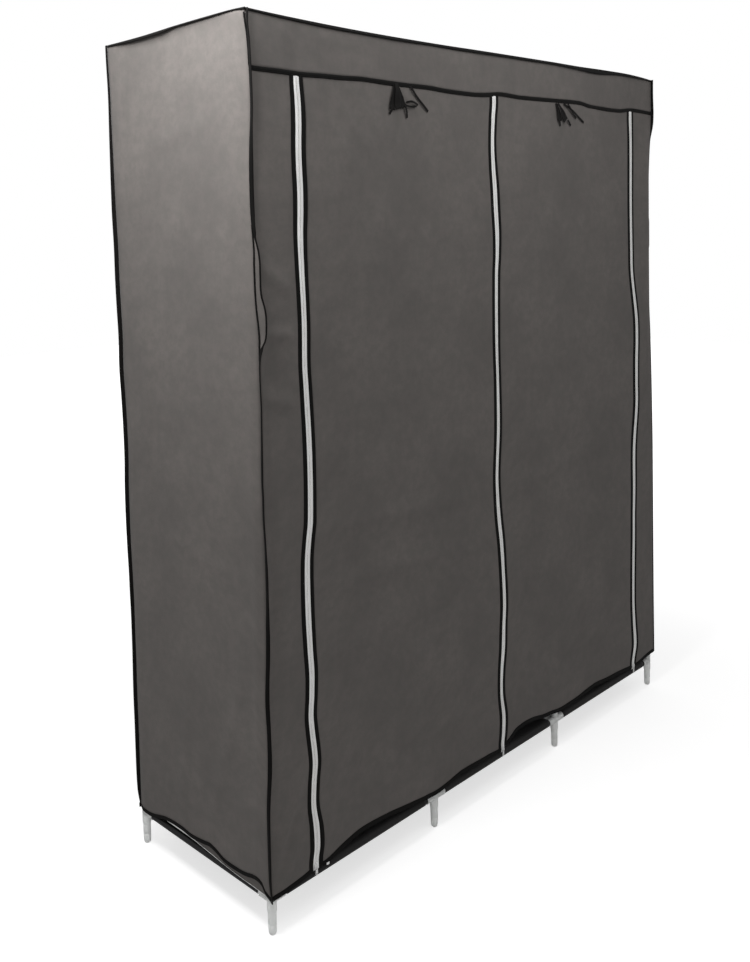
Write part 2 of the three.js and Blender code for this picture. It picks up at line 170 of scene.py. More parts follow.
def makeSpunbond():
    # thermally bonded cloth: a staggered grid of pressed dots between loose fibres
    tree, give, take = startGroup("spunbond", [("Vector", "Vector", None), ("Pitch", "Float", 0.002)],
                                  ["Height", "Dots", "Fibres", "Patches", "Clouds"])
    count = calc(tree, "DIVIDE", 1.0, give["Pitch"])
    spread = addNode(tree, "ShaderNodeVectorMath", {0: give["Vector"], "Scale": count}, operation="SCALE")
    diamond = placed(tree, spread.outputs[0], (1.0, 0.66, 1.0), 45)
    cells = addNode(tree, "ShaderNodeTexVoronoi", {"Vector": diamond, "Scale": 1.0, "Randomness": 0.12},
                    voronoi_dimensions="2D")
    dots = rangeOf(tree, cells.outputs["Distance"], 0.16, 0.38, 1.0, 0.0)
    first = noiseOf(tree, placed(tree, spread.outputs[0], (5.0, 0.5, 1.0), 24), 1.0)
    second = noiseOf(tree, placed(tree, spread.outputs[0], (0.45, 4.4, 1.0), 12), 1.0)
    fibres = calc(tree, "MAXIMUM", first, second)
    patches = noiseOf(tree, give["Vector"], 5.5, 4.0, 0.55)
    clouds = noiseOf(tree, give["Vector"], 42.0, 5.0, 0.68)
    raised = calc(tree, "MULTIPLY", fibres, 0.55)
    height = calc(tree, "SUBTRACT", raised, calc(tree, "MULTIPLY", dots, 0.45))
    return putOut(tree, take, Height=height, Dots=dots, Fibres=fibres, Patches=patches, Clouds=clouds)


def makeTapeWeave():
    # ribbed tape: ribs across it and a row of stitches along it
    tree, give, take = startGroup(
        "tapeWeave", [("Vector", "Vector", None), ("Rib", "Float", 0.0011), ("Stitch", "Float", 0.0034),
                      ("Row", "Float", 0.0016)], ["Height", "Thread", "Fuzz"])
    parts = addNode(tree, "ShaderNodeSeparateXYZ", {0: give["Vector"]}).outputs
    turns = calc(tree, "DIVIDE", parts["X"], give["Rib"])
    ribs = calc(tree, "SINE", calc(tree, "MULTIPLY", turns, 2 * math.pi))
    across = calc(tree, "SINE", calc(tree, "MULTIPLY", calc(tree, "DIVIDE", parts["Y"], give["Rib"]), 4.2))
    fuzz = noiseOf(tree, give["Vector"], 1400.0)
    dash = calc(tree, "PINGPONG", calc(tree, "DIVIDE", parts["X"], give["Stitch"]), 0.5)
    along = rangeOf(tree, dash, 0.06, 0.14)
    away = calc(tree, "ABSOLUTE", calc(tree, "SUBTRACT", parts["Y"], give["Row"]))
    thread = calc(tree, "MULTIPLY", along, rangeOf(tree, away, 0.0002, 0.0005, 1.0, 0.0))
    woven = calc(tree, "ADD", calc(tree, "MULTIPLY", ribs, 0.2), calc(tree, "MULTIPLY", across, 0.14))
    rough = calc(tree, "ADD", woven, calc(tree, "MULTIPLY", fuzz, 0.35))
    height = calc(tree, "ADD", rough, calc(tree, "MULTIPLY", thread, 0.8))
    return putOut(tree, take, Height=height, Thread=thread, Fuzz=fuzz)


def makeHandling():
    # dust that lies in faint patches, small scuffs and a fine surface grain
    tree, give, take = startGroup(
        "handling", [("Vector", "Vector", None), ("Grain", "Float", 900.0)], ["Dust", "Scuff", "Grain"])
    dust = rangeOf(tree, noiseOf(tree, give["Vector"], 16.0, 5.0, 0.6), 0.42, 0.72)
    streaks = noiseOf(tree, placed(tree, give["Vector"], (40.0, 260.0, 260.0), 18), 1.0, 3.0)
    grain = noiseOf(tree, give["Vector"], give["Grain"])
    return putOut(tree, take, Dust=dust, Scuff=rangeOf(tree, streaks, 0.6, 0.72), Grain=grain)


spunbond, tapeWeave, handling = makeSpunbond(), makeTapeWeave(), makeHandling()


# Finishes

def startMaterial(name, roughness, **plain):
    made = bpy.data.materials.new(name)
    made.use_nodes = True
    shader = made.node_tree.nodes["Principled BSDF"]
    shader.inputs["Roughness"].default_value = roughness
    for label, value in plain.items():
        shader.inputs[label.replace("_", " ")].default_value = value
    return made, made.node_tree, shader.inputs


def coordinate(tree, kind):
    return addNode(tree, "ShaderNodeTexCoord").outputs[kind]


def feed(tree, inputs, colour, roughness, height, strength, depth):
    relief = addNode(tree, "ShaderNodeBump", {"Height": height, "Strength": strength, "Distance": depth})
    tree.links.new(colour, inputs["Base Color"])
    tree.links.new(roughness, inputs["Roughness"])
    tree.links.new(relief.outputs["Normal"], inputs["Normal"])


def nonWoven(name, light, dark, pitch, sheen, gloss):
    made, tree, inputs = startMaterial(name, 0.8, Sheen_Weight=sheen, Sheen_Roughness=0.45,
                                       Specular_IOR_Level=gloss)
    surface = coordinate(tree, "UV")
    cloth = useGroup(tree, spunbond, Vector=surface, Pitch=pitch)
    worn = useGroup(tree, handling, Vector=surface)
    ground = blendColour(tree, rangeOf(tree, cloth["Patches"], 0.3, 0.7), dark, light)
    cool = [channel * tone for channel, tone in zip(dark[:3], (0.8, 0.87, 0.84))] + [1.0]
    clouded = blendColour(tree, rangeOf(tree, cloth["Clouds"], 0.36, 0.66, 0.42, 0.0), ground, cool)
    pressed = blendColour(tree, calc(tree, "MULTIPLY", cloth["Dots"], 0.3), clouded, dark)
    pale = [min(1.0, channel * 1.5) for channel in light[:3]] + [1.0]
    colour = blendColour(tree, calc(tree, "MULTIPLY", worn["Dust"], 0.09), pressed, pale)
    roughness = rangeOf(tree, cloth["Fibres"], 0.3, 0.75, 0.66, 0.88)
    feed(tree, inputs, colour, roughness, cloth["Height"], 0.35, 0.00035)
    return made


def wovenTape(name, base, light, row, rib):
    made, tree, inputs = startMaterial(name, 0.8, Sheen_Weight=0.01, Specular_IOR_Level=0.06)
    surface = coordinate(tree, "UV")
    weave = useGroup(tree, tapeWeave, Vector=surface, Row=row, Rib=rib)
    worn = useGroup(tree, handling, Vector=surface)
    fibre = blendColour(tree, rangeOf(tree, weave["Fuzz"], 0.35, 0.7), base, light)
    stitched = blendColour(tree, calc(tree, "MULTIPLY", weave["Thread"], 0.6), fibre, light)
    colour = blendColour(tree, calc(tree, "MULTIPLY", worn["Dust"], 0.12), stitched, light)
    roughness = rangeOf(tree, weave["Fuzz"], 0.3, 0.7, 0.6, 0.85)
    feed(tree, inputs, colour, roughness, weave["Height"], 0.5, 0.00025)
    return made


def handled(name, base, dusty, roughness, grain, strength, **plain):
    # hard parts: a fine grain, dust on the flats and faint scuffs
    made, tree, inputs = startMaterial(name, roughness, **plain)
    worn = useGroup(tree, handling, Vector=coordinate(tree, "Object"), Grain=grain)
    dust = blendColour(tree, calc(tree, "MULTIPLY", worn["Dust"], 0.35), base, dusty)
    colour = blendColour(tree, calc(tree, "MULTIPLY", worn["Scuff"], 0.3), dust, dusty)
    rough = rangeOf(tree, worn["Dust"], 0.0, 1.0, roughness * 0.85, min(1.0, roughness * 1.35))
    feed(tree, inputs, colour, rough, worn["Grain"], strength, 0.0002)
    return made


coverCloth = nonWoven("coverCloth", (0.144, 0.13, 0.123, 1), (0.1165, 0.106, 0.101, 1), 0.0021, 0.05, 0.12)
shelfCloth = nonWoven("shelfCloth", (0.019, 0.018, 0.018, 1), (0.012, 0.0115, 0.0115, 1), 0.0019, 0.04, 0.25)
bindingTape = wovenTape("bindingTape", (0.0026, 0.0024, 0.0023, 1), (0.0068, 0.0064, 0.006, 1), 0.0022,
                        0.0012)
tieRibbon = wovenTape("tieRibbon", (0.0048, 0.0045, 0.0043, 1), (0.0115, 0.0107, 0.0102, 1), 0.0012, 0.0009)
zipTape = wovenTape("zipTape", (0.87, 0.867, 0.855, 1), (0.93, 0.927, 0.917, 1), 0.0034, 0.0008)
zipCoil = handled("zipCoil", (0.93, 0.927, 0.917, 1), (0.8, 0.79, 0.775, 1), 0.38, 2400.0, 0.15)
zipMetal = handled("zipMetal", (0.86, 0.86, 0.855, 1), (0.6, 0.59, 0.58, 1), 0.32, 2600.0, 0.2, Metallic=0.6)
tubeSteel = handled("tubeSteel", (0.005, 0.005, 0.0053, 1), (0.018, 0.0175, 0.017, 1), 0.45, 1500.0, 0.25,
                    Specular_IOR_Level=0.2)
connectorPlastic = handled("connectorPlastic", (0.9, 0.91, 0.9, 1), (0.72, 0.715, 0.7, 1), 0.4, 700.0, 0.25,
                           Transmission_Weight=0.35, IOR=1.2)
print("finishes made")


# Small helpers for meshes

def newPiece(name, bm, material):
    mesh = bpy.data.meshes.new(name)
    bm.to_mesh(mesh)
    bm.free()
    mesh.shade_smooth()
    mesh.materials.append(material)
    piece = bpy.data.objects.new(name, mesh)
    bpy.context.scene.collection.objects.link(piece)
    return piece


def carry(piece, body, slot, replaces):
    # a door's pieces are baked where they stand and left unparented, and every other piece rides its body
    if body in hinge["middles"]:
        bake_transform(piece)
    else:
        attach(piece, body)
    if replaces:
        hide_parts(*replaces)


def keepPiece(name, bm, material, slot, body="wardrobe", replaces=(), creaseAngle=None):
    bmesh.ops.recalc_face_normals(bm, faces=bm.faces)
    piece = newPiece(name, bm, material)
    if creaseAngle is not None:
        piece.data.set_sharp_from_angle(angle=math.radians(creaseAngle))
    carry(piece, body, slot, replaces)
    return piece


def thicken(piece, thickness, offset):
    layer = piece.modifiers.new("thickness", "SOLIDIFY")
    layer.thickness, layer.offset = thickness, offset


def closeEnds(bm):
    bmesh.ops.holes_fill(bm, edges=[edge for edge in bm.edges if edge.is_boundary], sides=0)


def loft(bm, steps, ring, place, length=1.0):
    # sweeps a closed ring of (across, out) points; place(share, across, out) gives the point
    uv = bm.loops.layers.uv.verify()
    sides = len(ring)
    girth = [0.0]
    for index in range(sides):
        here, there = Vector(ring[index]), Vector(ring[(index + 1) % sides])
        girth.append(girth[-1] + (there - here).length)
    made = bmesh.ops.create_grid(bm, x_segments=steps, y_segments=sides, size=0.5)["verts"]
    faces = {face for vert in made for face in vert.link_faces}
    for face in faces:
        for loop in face.loops:
            co = loop.vert.co
            loop[uv].uv = ((co.x + 0.5) * length, girth[round((co.y + 0.5) * sides)])
    for vert in made:
        share, index = vert.co.x + 0.5, round((vert.co.y + 0.5) * sides) % sides
        vert.co = place(share, *ring[index])
    bmesh.ops.remove_doubles(bm, verts=made, dist=1e-7)


def tapeRing(width, thickness, crown=0.35):
    # the section of a folded tape: round edges, a low crown and a pressed row near one edge
    shares = [(-1, 0.0), (-0.92, 0.75), (-0.7, 0.95), (-0.52, 0.7), (-0.3, 1.0), (0.2, 1 + crown), (0.7, 1.0),
              (0.94, 0.6), (1, 0.0), (0.9, -0.7), (0.4, -1.0), (-0.4, -1.0), (-0.9, -0.7)]
    return [(width / 2 * across, thickness / 2 * out) for across, out in shares]


def sheetGrid(bm, width, height, cell, place):
    # one layer of cloth: place(u, v) puts a point, with u across and v up
    uv = bm.loops.layers.uv.verify()
    columns, rows = max(2, round(width / cell)), max(2, round(height / cell))
    made = bmesh.ops.create_grid(bm, x_segments=columns, y_segments=rows, size=0.5)["verts"]
    for face in bm.faces:
        for loop in face.loops:
            co = loop.vert.co
            loop[uv].uv = ((co.x + 0.5) * width, (co.y + 0.5) * height)
    for vert in made:
        vert.co = place(vert.co.x + 0.5, vert.co.y + 0.5)


def clothPiece(name, size, cell, place, node, body="wardrobe"):
    bm = bmesh.new()
    sheetGrid(bm, *size, cell, place)
    piece = newPiece(name, bm, coverCloth)
    thicken(piece, wall["cloth"], -1.0)
    carry(piece, body, "cover_cloth", (node,))
    return piece


def addShell(bm, part, place=None):
    # puts a finished shell, made in a bmesh of its own, into a bigger one
    if place is not None:
        bmesh.ops.transform(part, matrix=place, verts=part.verts)
    mesh = bpy.data.meshes.new("shell")
    part.to_mesh(mesh)
    part.free()
    bm.from_mesh(mesh)
    bpy.data.meshes.remove(mesh)


def spinShell(bm, profile, place, steps):
    # turns a line of (radius, height) points about its own Z and then places the shell
    part = bmesh.new()
    verts = [part.verts.new((radius, 0.0, height)) for radius, height in profile]
    edges = [part.edges.new(pair) for pair in zip(verts, verts[1:])]
    if profile[0][0] > 0:
        edges.append(part.edges.new((verts[-1], verts[0])))
    bmesh.ops.spin(part, geom=verts + edges, cent=(0, 0, 0), axis=(0, 0, 1), angle=2 * math.pi,
                   steps=steps, use_merge=True)
    bmesh.ops.remove_doubles(part, verts=part.verts, dist=1e-7)
    addShell(bm, part, place)


axisTurns = {"x": Matrix.Rotation(math.radians(90), 4, "Y"), "-x": Matrix.Rotation(math.radians(-90), 4, "Y"),
             "y": Matrix.Rotation(math.radians(-90), 4, "X"), "-y": Matrix.Rotation(math.radians(90), 4, "X"),
             "z": Matrix.Identity(4), "-z": Matrix.Rotation(math.radians(180), 4, "X")}


def pointing(direction, at):
    return Matrix.Translation(at) @ axisTurns[direction]


# Where the cover's walls and seams run

wall = {"front": 0.2209, "back": 0.2209, "side": 0.7459, "cornerX": 0.7465, "cornerY": 0.2225, "edge": 1.7472,
        "cloth": 0.0008, "cell": 0.0085, "turn": 0.016}
sideNames = {-1: "left", 1: "right"}
zipPlaces = {"left": -0.628, "centre": 0.0, "right": 0.628}
hinge = {"start": 1.6275, "drop": 0.125,
         "middles": {"left_door": zipPlaces["left"] / 2, "right_door": zipPlaces["right"] / 2}}

cornerSway = curveThrough([
    (0.085, 0.0), (0.1, -0.002), (0.124, -0.0036), (0.23, -0.004), (0.265, -0.0031), (0.336, 0.0019),
    (0.406, 0.0028), (0.44, 0.001), (0.475, 0.0005), (0.544, 0.0053), (0.614, 0.008), (0.648, 0.0098),
    (0.751, 0.0102), (0.819, 0.0071), (0.853, 0.0073), (0.886, 0.0063), (0.987, 0.009), (1.021, 0.0102),
    (1.088, 0.0085), (1.154, 0.0105), (1.221, 0.0037), (1.287, 0.0022), (1.319, 0.003), (1.385, -0.0016),
    (1.483, -0.0006), (1.58, 0.0057), (1.676, 0.0029), (1.708, 0.0002), (1.74, -0.0056)])
backLeftDrift = curveThrough([
    (0.09, -0.0042), (0.148, -0.0046), (0.25, -0.0048), (0.34, -0.0046), (0.42, -0.005), (0.475, -0.0048),
    (0.54, -0.005), (0.606, -0.0043), (0.67, -0.0032), (0.8, -0.0032), (0.868, -0.0044), (0.933, -0.0042),
    (0.999, -0.003), (1.064, -0.0016), (1.13, -0.0022), (1.195, -0.0012), (1.26, -0.0004), (1.326, -0.0002),
    (1.391, 0.001), (1.457, 0.0018), (1.522, 0.0024), (1.588, 0.0031), (1.653, 0.0034), (1.719, 0.0048),
    (1.75, 0.0052)])
backLeftWidth = curveThrough([
    (0.085, 0.5), (0.115, 0.9), (0.16, 1.1), (0.4, 1.12), (0.4876, 1.0), (0.58, 1.12), (1.0, 1.16),
    (1.38, 1.18), (1.5, 1.08), (1.6, 1.0)])
frontRightDrift = curveThrough([
    (0.1, 0.0), (0.7, 0.0), (0.82, -0.0008), (0.93, -0.0019), (1.043, -0.0038), (1.12, -0.0055),
    (1.46, -0.0056), (1.495, -0.0052), (1.55, -0.0036), (1.608, -0.0014), (1.66, 0.0)])
headerSeam = curveThrough([
    (-0.75, 1.6455), (-0.712, 1.6452), (-0.662, 1.6452), (-0.611, 1.6445), (-0.557, 1.6461),
    (-0.503, 1.6472), (-0.446, 1.6496), (-0.386, 1.6488), (-0.3386, 1.6484), (-0.231, 1.6491),
    (-0.1796, 1.647), (-0.09, 1.6462), (-0.0337, 1.6488), (0.0246, 1.6548), (0.1053, 1.6532),
    (0.2789, 1.6568), (0.3723, 1.658), (0.4207, 1.6528), (0.5634, 1.6506), (0.6335, 1.657), (0.75, 1.6545)])
frontHem = curveThrough([
    (-0.7465, 0.079), (-0.709, 0.081), (-0.65, 0.086), (-0.628, 0.088), (-0.603, 0.087), (-0.55, 0.1),
    (-0.496, 0.1085), (-0.406, 0.103), (-0.2625, 0.0875), (-0.2136, 0.09), (-0.157, 0.097), (-0.06, 0.094),
    (0.0, 0.091), (0.033, 0.106), (0.0556, 0.1185), (0.11, 0.1225), (0.17, 0.11), (0.208, 0.106),
    (0.26, 0.0985), (0.343, 0.101), (0.417, 0.1075), (0.477, 0.1025), (0.539, 0.0995), (0.6, 0.094),
    (0.628, 0.0905), (0.65, 0.0915), (0.7, 0.098), (0.7465, 0.1015)])
leftHem = curveThrough([
    (-0.2225, 0.079), (-0.2069, 0.0872), (-0.2014, 0.0985), (-0.1914, 0.1042), (-0.1748, 0.1038),
    (-0.1451, 0.0962), (-0.1146, 0.0935), (-0.0795, 0.0945), (-0.0574, 0.1015), (-0.0348, 0.106),
    (-0.0161, 0.103), (0.0267, 0.098), (0.0613, 0.1008), (0.1162, 0.0972), (0.1744, 0.0832),
    (0.2225, 0.086)])
leftRoof = curveThrough([
    (-0.2225, 0.0), (-0.18, 0.0016), (-0.12, 0.0018), (-0.06, 0.0016), (0.0, 0.001), (0.04, 0.0),
    (0.1, -0.001), (0.16, -0.0008), (0.2225, 0.0)])
frontRoof = curveThrough([
    (-0.7465, 0.0055), (-0.68, 0.0031), (-0.615, 0.0014), (-0.55, 0.0), (-0.48, -0.0011), (-0.405, -0.0017),
    (-0.33, -0.0018), (-0.245, -0.0015), (-0.16, -0.0009), (-0.06, 0.0005), (0.04, 0.0014), (0.25, 0.0032),
    (0.36, 0.0035), (0.48, 0.0055), (0.6, 0.0062), (0.68, 0.004), (0.7465, 0.0)])
zipSway = {
    "left": curveThrough([
        (0.084, 0.001), (0.104, 0.0014), (0.128, 0.006), (0.17, 0.0051), (0.215, -0.0011), (0.26, 0.0012),
        (0.305, 0.006), (0.394, -0.0023), (0.438, 0.0011), (0.482, 0.0027), (0.527, 0.0003),
        (0.615, -0.0027), (0.702, -0.0018), (0.746, 0.003), (0.789, 0.0093), (0.918, 0.0112),
        (1.047, 0.0066), (1.09, 0.0046), (1.174, 0.0061), (1.301, 0.0021), (1.343, 0.0018), (1.384, 0.0038),
        (1.426, 0.0045), (1.468, 0.0031), (1.509, 0.0029), (1.55, 0.0045), (1.592, 0.004), (1.628, 0.0013),
        (1.6457, 0.001)]),
    "centre": curveThrough([
        (0.084, 0.001), (0.104, 0.0014), (0.13, 0.0055), (0.172, 0.007), (0.226, -0.0003), (0.281, 0.0016),
        (0.335, 0.0087), (0.389, 0.012), (0.443, 0.0156), (0.55, 0.0111), (0.603, 0.0063), (0.656, -0.0011),
        (0.709, -0.0059), (0.762, -0.0072), (0.868, 0.0008), (0.972, 0.0012), (1.077, -0.0011),
        (1.232, 0.0013), (1.283, 0.0055), (1.335, 0.0062), (1.386, 0.0028), (1.437, -0.0001),
        (1.488, -0.005), (1.539, -0.0072), (1.6, -0.003), (1.627, 0.0009), (1.6457, 0.0014)]),
    "right": curveThrough([
        (0.084, 0.001), (0.104, 0.0014), (0.151, 0.0128), (0.215, 0.0089), (0.278, 0.0053), (0.405, 0.007),
        (0.468, 0.0092), (0.531, 0.0102), (0.594, 0.0121), (0.719, 0.0129), (0.843, 0.027), (0.905, 0.0269),
        (0.967, 0.0278), (1.029, 0.0305), (1.09, 0.0278), (1.212, 0.0063), (1.273, 0.0041), (1.395, 0.0019),
        (1.515, 0.0028), (1.575, 0.0031), (1.624, 0.0014), (1.6457, 0.0011)])}
zipSpread = {
    "left": curveThrough([
        (0.084, 0.0076), (0.15, 0.0076), (0.2, 0.005), (0.3, 0.0052), (0.45, 0.0051), (0.6, 0.006),
        (0.67, 0.0057), (0.8, 0.0049), (1.0, 0.0046), (1.2, 0.0045), (1.3, 0.0054), (1.38, 0.007),
        (1.56, 0.0073), (1.6, 0.0064), (1.64, 0.0054), (1.6457, 0.005)]),
    "centre": curveThrough([
        (0.084, 0.0044), (0.16, 0.0042), (0.25, 0.0032), (0.33, 0.0044), (0.4, 0.004), (0.5, 0.0036),
        (0.65, 0.0046), (0.75, 0.0036), (0.9, 0.0036), (1.0, 0.003), (1.1, 0.0036), (1.28, 0.004),
        (1.37, 0.0058), (1.45, 0.0062), (1.54, 0.0044), (1.6457, 0.0052)]),
    "right": curveThrough([
        (0.084, 0.0048), (0.3, 0.004), (0.8, 0.0042), (1.05, 0.0048), (1.2, 0.0042), (1.59, 0.0042),
        (1.63, 0.0054), (1.6457, 0.0052)])}

# Long soft folds of the front: from (x, z) to (x, z), half width and height
frontFolds = [
    (-0.598, 1.634, -0.475, 1.47, 0.011, 0.0016), (-0.56, 1.64, -0.42, 1.5, 0.01, 0.0013),
    (-0.5, 1.64, -0.39, 1.545, 0.008, 0.0011), (-0.585, 1.56, -0.5, 1.4, 0.013, 0.0011),
    (-0.335, 1.64, -0.36, 1.52, 0.008, 0.0009), (-0.32, 1.64, -0.23, 1.56, 0.008, 0.0009),
    (0.31, 1.64, 0.24, 1.54, 0.009, 0.0009), (0.33, 1.64, 0.42, 1.55, 0.009, 0.0008),
    (-0.365, 1.33, -0.352, 0.2, 0.0022, 0.0007), (0.385, 1.48, 0.392, 0.17, 0.0022, 0.0007),
    (-0.372, 1.0, -0.3, 0.12, 0.012, 0.0008), (0.375, 0.33, 0.384, 0.11, 0.005, 0.0016),
    (0.408, 0.3, 0.405, 0.112, 0.005, 0.0014), (-0.585, 0.76, -0.12, 0.73, 0.02, 0.0013),
    (-0.56, 0.64, -0.1, 0.62, 0.022, 0.0014), (-0.59, 0.5, -0.2, 0.53, 0.025, 0.0013),
    (0.06, 0.72, 0.56, 0.76, 0.024, 0.0012), (0.05, 0.48, 0.42, 0.52, 0.026, 0.0011),
    (-0.655, 0.3, -0.73, 0.165, 0.012, 0.0058), (-0.668, 0.2, -0.708, 0.105, 0.009, 0.004),
    (-0.735, 1.29, -0.66, 1.235, 0.014, 0.0034), (-0.735, 1.16, -0.655, 1.15, 0.012, 0.0038),
    (-0.738, 1.045, -0.66, 1.02, 0.014, 0.003), (-0.7, 0.86, -0.69, 0.5, 0.012, 0.0024),
    (0.075, 0.3, 0.115, 0.13, 0.014, 0.0024), (0.665, 0.42, 0.72, 0.3, 0.014, 0.0018)]


def foldHeight(x, z, folds):
    height = 0.0
    for x0, z0, x1, z1, width, rise in folds:
        dx, dz = x1 - x0, z1 - z0
        long = dx * dx + dz * dz
        share = ((x - x0) * dx + (z - z0) * dz) / long
        if -0.25 < share < 1.25:
            away = ((x - x0) * dz - (z - z0) * dx) / math.sqrt(long)
            if abs(away) < 3 * width:
                height += rise * bump(away, width) * ease((share + 0.25) / 0.4) * ease((1.25 - share) / 0.45)
    return height


cornerRise = {(-1, -1): 0.0055, (-1, 1): 0.004, (1, -1): 0.0, (1, 1): 0.0}
slackCorner = {"level": 1.3187, "reach": 0.05, "fade": 0.016, "front": 0.0023, "side": 0.0028}


def topAt(wallName, along):
    # the height of the roof's edge over a wall
    if wallName == "front":
        return wall["edge"] + frontRoof(along)
    if wallName == "back":
        return wall["edge"] + mix(cornerRise[-1, 1], cornerRise[1, 1], along / (2 * wall["cornerX"]) + 0.5)
    side = -1 if wallName == "left" else 1
    share = along / (2 * wall["cornerY"]) + 0.5
    rise = leftRoof(along) if side < 0 else 0.0005 * math.sin(math.pi * share)
    return wall["edge"] + mix(cornerRise[side, -1], cornerRise[side, 1], share) + rise


def frontSwell(x, z):
    # how far the front cloth stands out: quiet along the zips and at the corners
    calm = ease((wall["cornerX"] - abs(x)) / 0.03) * ease((topAt("front", x) - z) / 0.03)
    for place in zipPlaces.values():
        calm *= 1 - bump(x - place, 0.024)
    below = headerSeam(x) - z
    swell = 0.0013 + 0.0021 * ripple(x * 2.6, z * 1.9, 1.0)
    swell += 0.001 * ripple(x * 1.6, z * 8.0 - x * 1.2, 2.0) * ease((1.15 - z) / 0.5)
    swell += 0.0006 * ripple(x * 14, z * 9, 3.0)
    swell += 0.003 * abs(ripple(x * 7, z * 1.1, 4.0)) * ease((0.45 - z) / 0.35)
    puckers = 0.5 + 0.5 * math.sin(x * 290 + 4 * ripple(x * 12, 0.0, 5.0))
    swell += 0.0009 * puckers * bump(below - 0.012, 0.018) * (0.4 + abs(ripple(x * 5, 0.0, 6.0)))
    swell += 0.0035 * bump(x - 0.1, 0.07) * ease((0.26 - z) / 0.14)
    return max(0.0, swell * calm) + foldHeight(x, z, frontFolds) * (0.25 + 0.75 * calm)


def cornerPoint(side, end, z):
    # the seam of a corner: side is -1 left or 1 right, end is -1 front or 1 back
    if side < 0 and end < 0:
        outX, outY = -0.6 * cornerSway(z), 0.4 * cornerSway(z)
    elif side < 0:
        outX = outY = backLeftDrift(z)
    elif end < 0:
        outX = outY = frontRightDrift(z)
    else:
        outX = outY = 0.002 * ripple(z * 4.2, side * 3.0, end * 5.0 + 9)
    return Vector((side * (wall["cornerX"] + outX), end * (wall["cornerY"] + outY), z))


def nearRim(toCorner, toTop):
    # 1 where the cloth runs into a corner's seam or the roof's edge, 0 a little way off
    return 1 - ease(toCorner / wall["turn"]) * ease(toTop / wall["turn"])


def overJoint(z):
    # 1 where the slack front right corner is stretched over a joint
    return ease((slackCorner["reach"] - abs(z - slackCorner["level"])) / slackCorner["fade"])


def frontPoint(x, z, layer=0.0):
    # a point of the front wall, a layer out from the middle of its cloth
    left, right = cornerPoint(-1, -1, z), cornerPoint(1, -1, z)
    rim = mix(left.y, right.y, ease((x - left.x) / (right.x - left.x)))
    reach = min(x - left.x, right.x - x)
    y = mix(-wall["front"] - frontSwell(x, z), rim, nearRim(reach, topAt("front", x) - z))
    y -= slackCorner["front"] * bump(x - 0.7375, 0.007) * overJoint(z)
    return Vector((x, y - layer, z))


def sidePoint(side, y, z, layer=0.0):
    # a point of a side wall: it rounds the uprights near both ends and is slack between them
    front, back = cornerPoint(side, -1, z), cornerPoint(side, 1, z)
    top = topAt(sideNames[side], y)
    swell = 0.0006 + 0.0016 * ripple(y * 5, z * 2.0, side * 2.0) + 0.0006 * ripple(y * 16, z * 9, side * 4.0)
    swell += 0.0022 * abs(ripple(y * 9, z * 1.2, side * 6.0)) * ease((0.4 - z) / 0.3)
    swell -= 0.0022 * math.sin(math.pi * min(1.0, max(0.0, (z - 0.07) / 0.83))) ** 2 * bump(y, 0.11)
    swell += foldHeight(y, z, sideFolds) if side < 0 else 0.0
    swell *= ease((wall["cornerY"] - abs(y)) / 0.05) * ease((top - z) / 0.03)
    share = (y - front.y) / (back.y - front.y)
    rim = mix(abs(front.x), abs(back.x), ease(share))
    drift = max(0.0, rim - wall["cornerX"]) * abs(2 * share - 1) ** 2
    x = wall["side"] + swell + 0.0012 * bump(abs(y) - 0.203, 0.012) + drift
    x = mix(x, rim, nearRim(min(y - front.y, back.y - y), top - z))
    if side > 0:
        x += slackCorner["side"] * bump(y + 0.213, 0.0045) * overJoint(z)
    return Vector((side * (x + layer), y, z))


def backPoint(x, z, layer=0.0):
    left, right = cornerPoint(-1, 1, z), cornerPoint(1, 1, z)
    top = topAt("back", x)
    calm = ease((wall["cornerX"] - abs(x)) / 0.05) * ease((top - z) / 0.04)
    swell = 0.0012 + 0.0026 * ripple(x * 2.4, z * 1.8, 41.0) + 0.0009 * ripple(x * 6, z * 7, 42.0)
    swell += 0.003 * abs(ripple(x * 6, z * 1.2, 43.0)) * ease((0.45 - z) / 0.35)
    swell += 0.0008 * bump(x + 0.37, 0.003) + 0.0008 * bump(x - 0.37, 0.003) + 0.0008 * bump(x, 0.003)
    share = (x - left.x) / (right.x - left.x)
    rim = mix(left.y, right.y, ease(share))
    drift = max(0.0, rim - wall["cornerY"]) * abs(2 * share - 1) ** 3
    near = nearRim(min(x - left.x, right.x - x), top - z)
    return Vector((x, mix(wall["back"] + max(0.0, swell * calm) + drift, rim, near) + layer, z))


wallPoints = {"front": frontPoint, "back": backPoint,
              "left": lambda y, z, layer=0.0: sidePoint(-1, y, z, layer),
              "right": lambda y, z, layer=0.0: sidePoint(1, y, z, layer)}
sideFolds = [
    (-0.2, 1.69, -0.185, 1.3, 0.01, 0.0016), (-0.205, 0.62, -0.19, 0.14, 0.012, 0.0022),
    (-0.1, 1.56, 0.08, 1.53, 0.018, 0.001), (-0.14, 0.68, 0.06, 0.72, 0.022, 0.0011),
    (-0.16, 0.52, -0.05, 0.18, 0.014, 0.0013), (0.02, 0.42, 0.06, 0.14, 0.016, 0.0014),
    (-0.212, 1.64, -0.185, 1.655, 0.004, 0.0018), (-0.212, 0.47, -0.19, 0.462, 0.004, 0.0016),
    (-0.212, 0.61, -0.188, 0.604, 0.004, 0.0014), (0.12, 1.2, 0.14, 0.7, 0.016, 0.0009)]


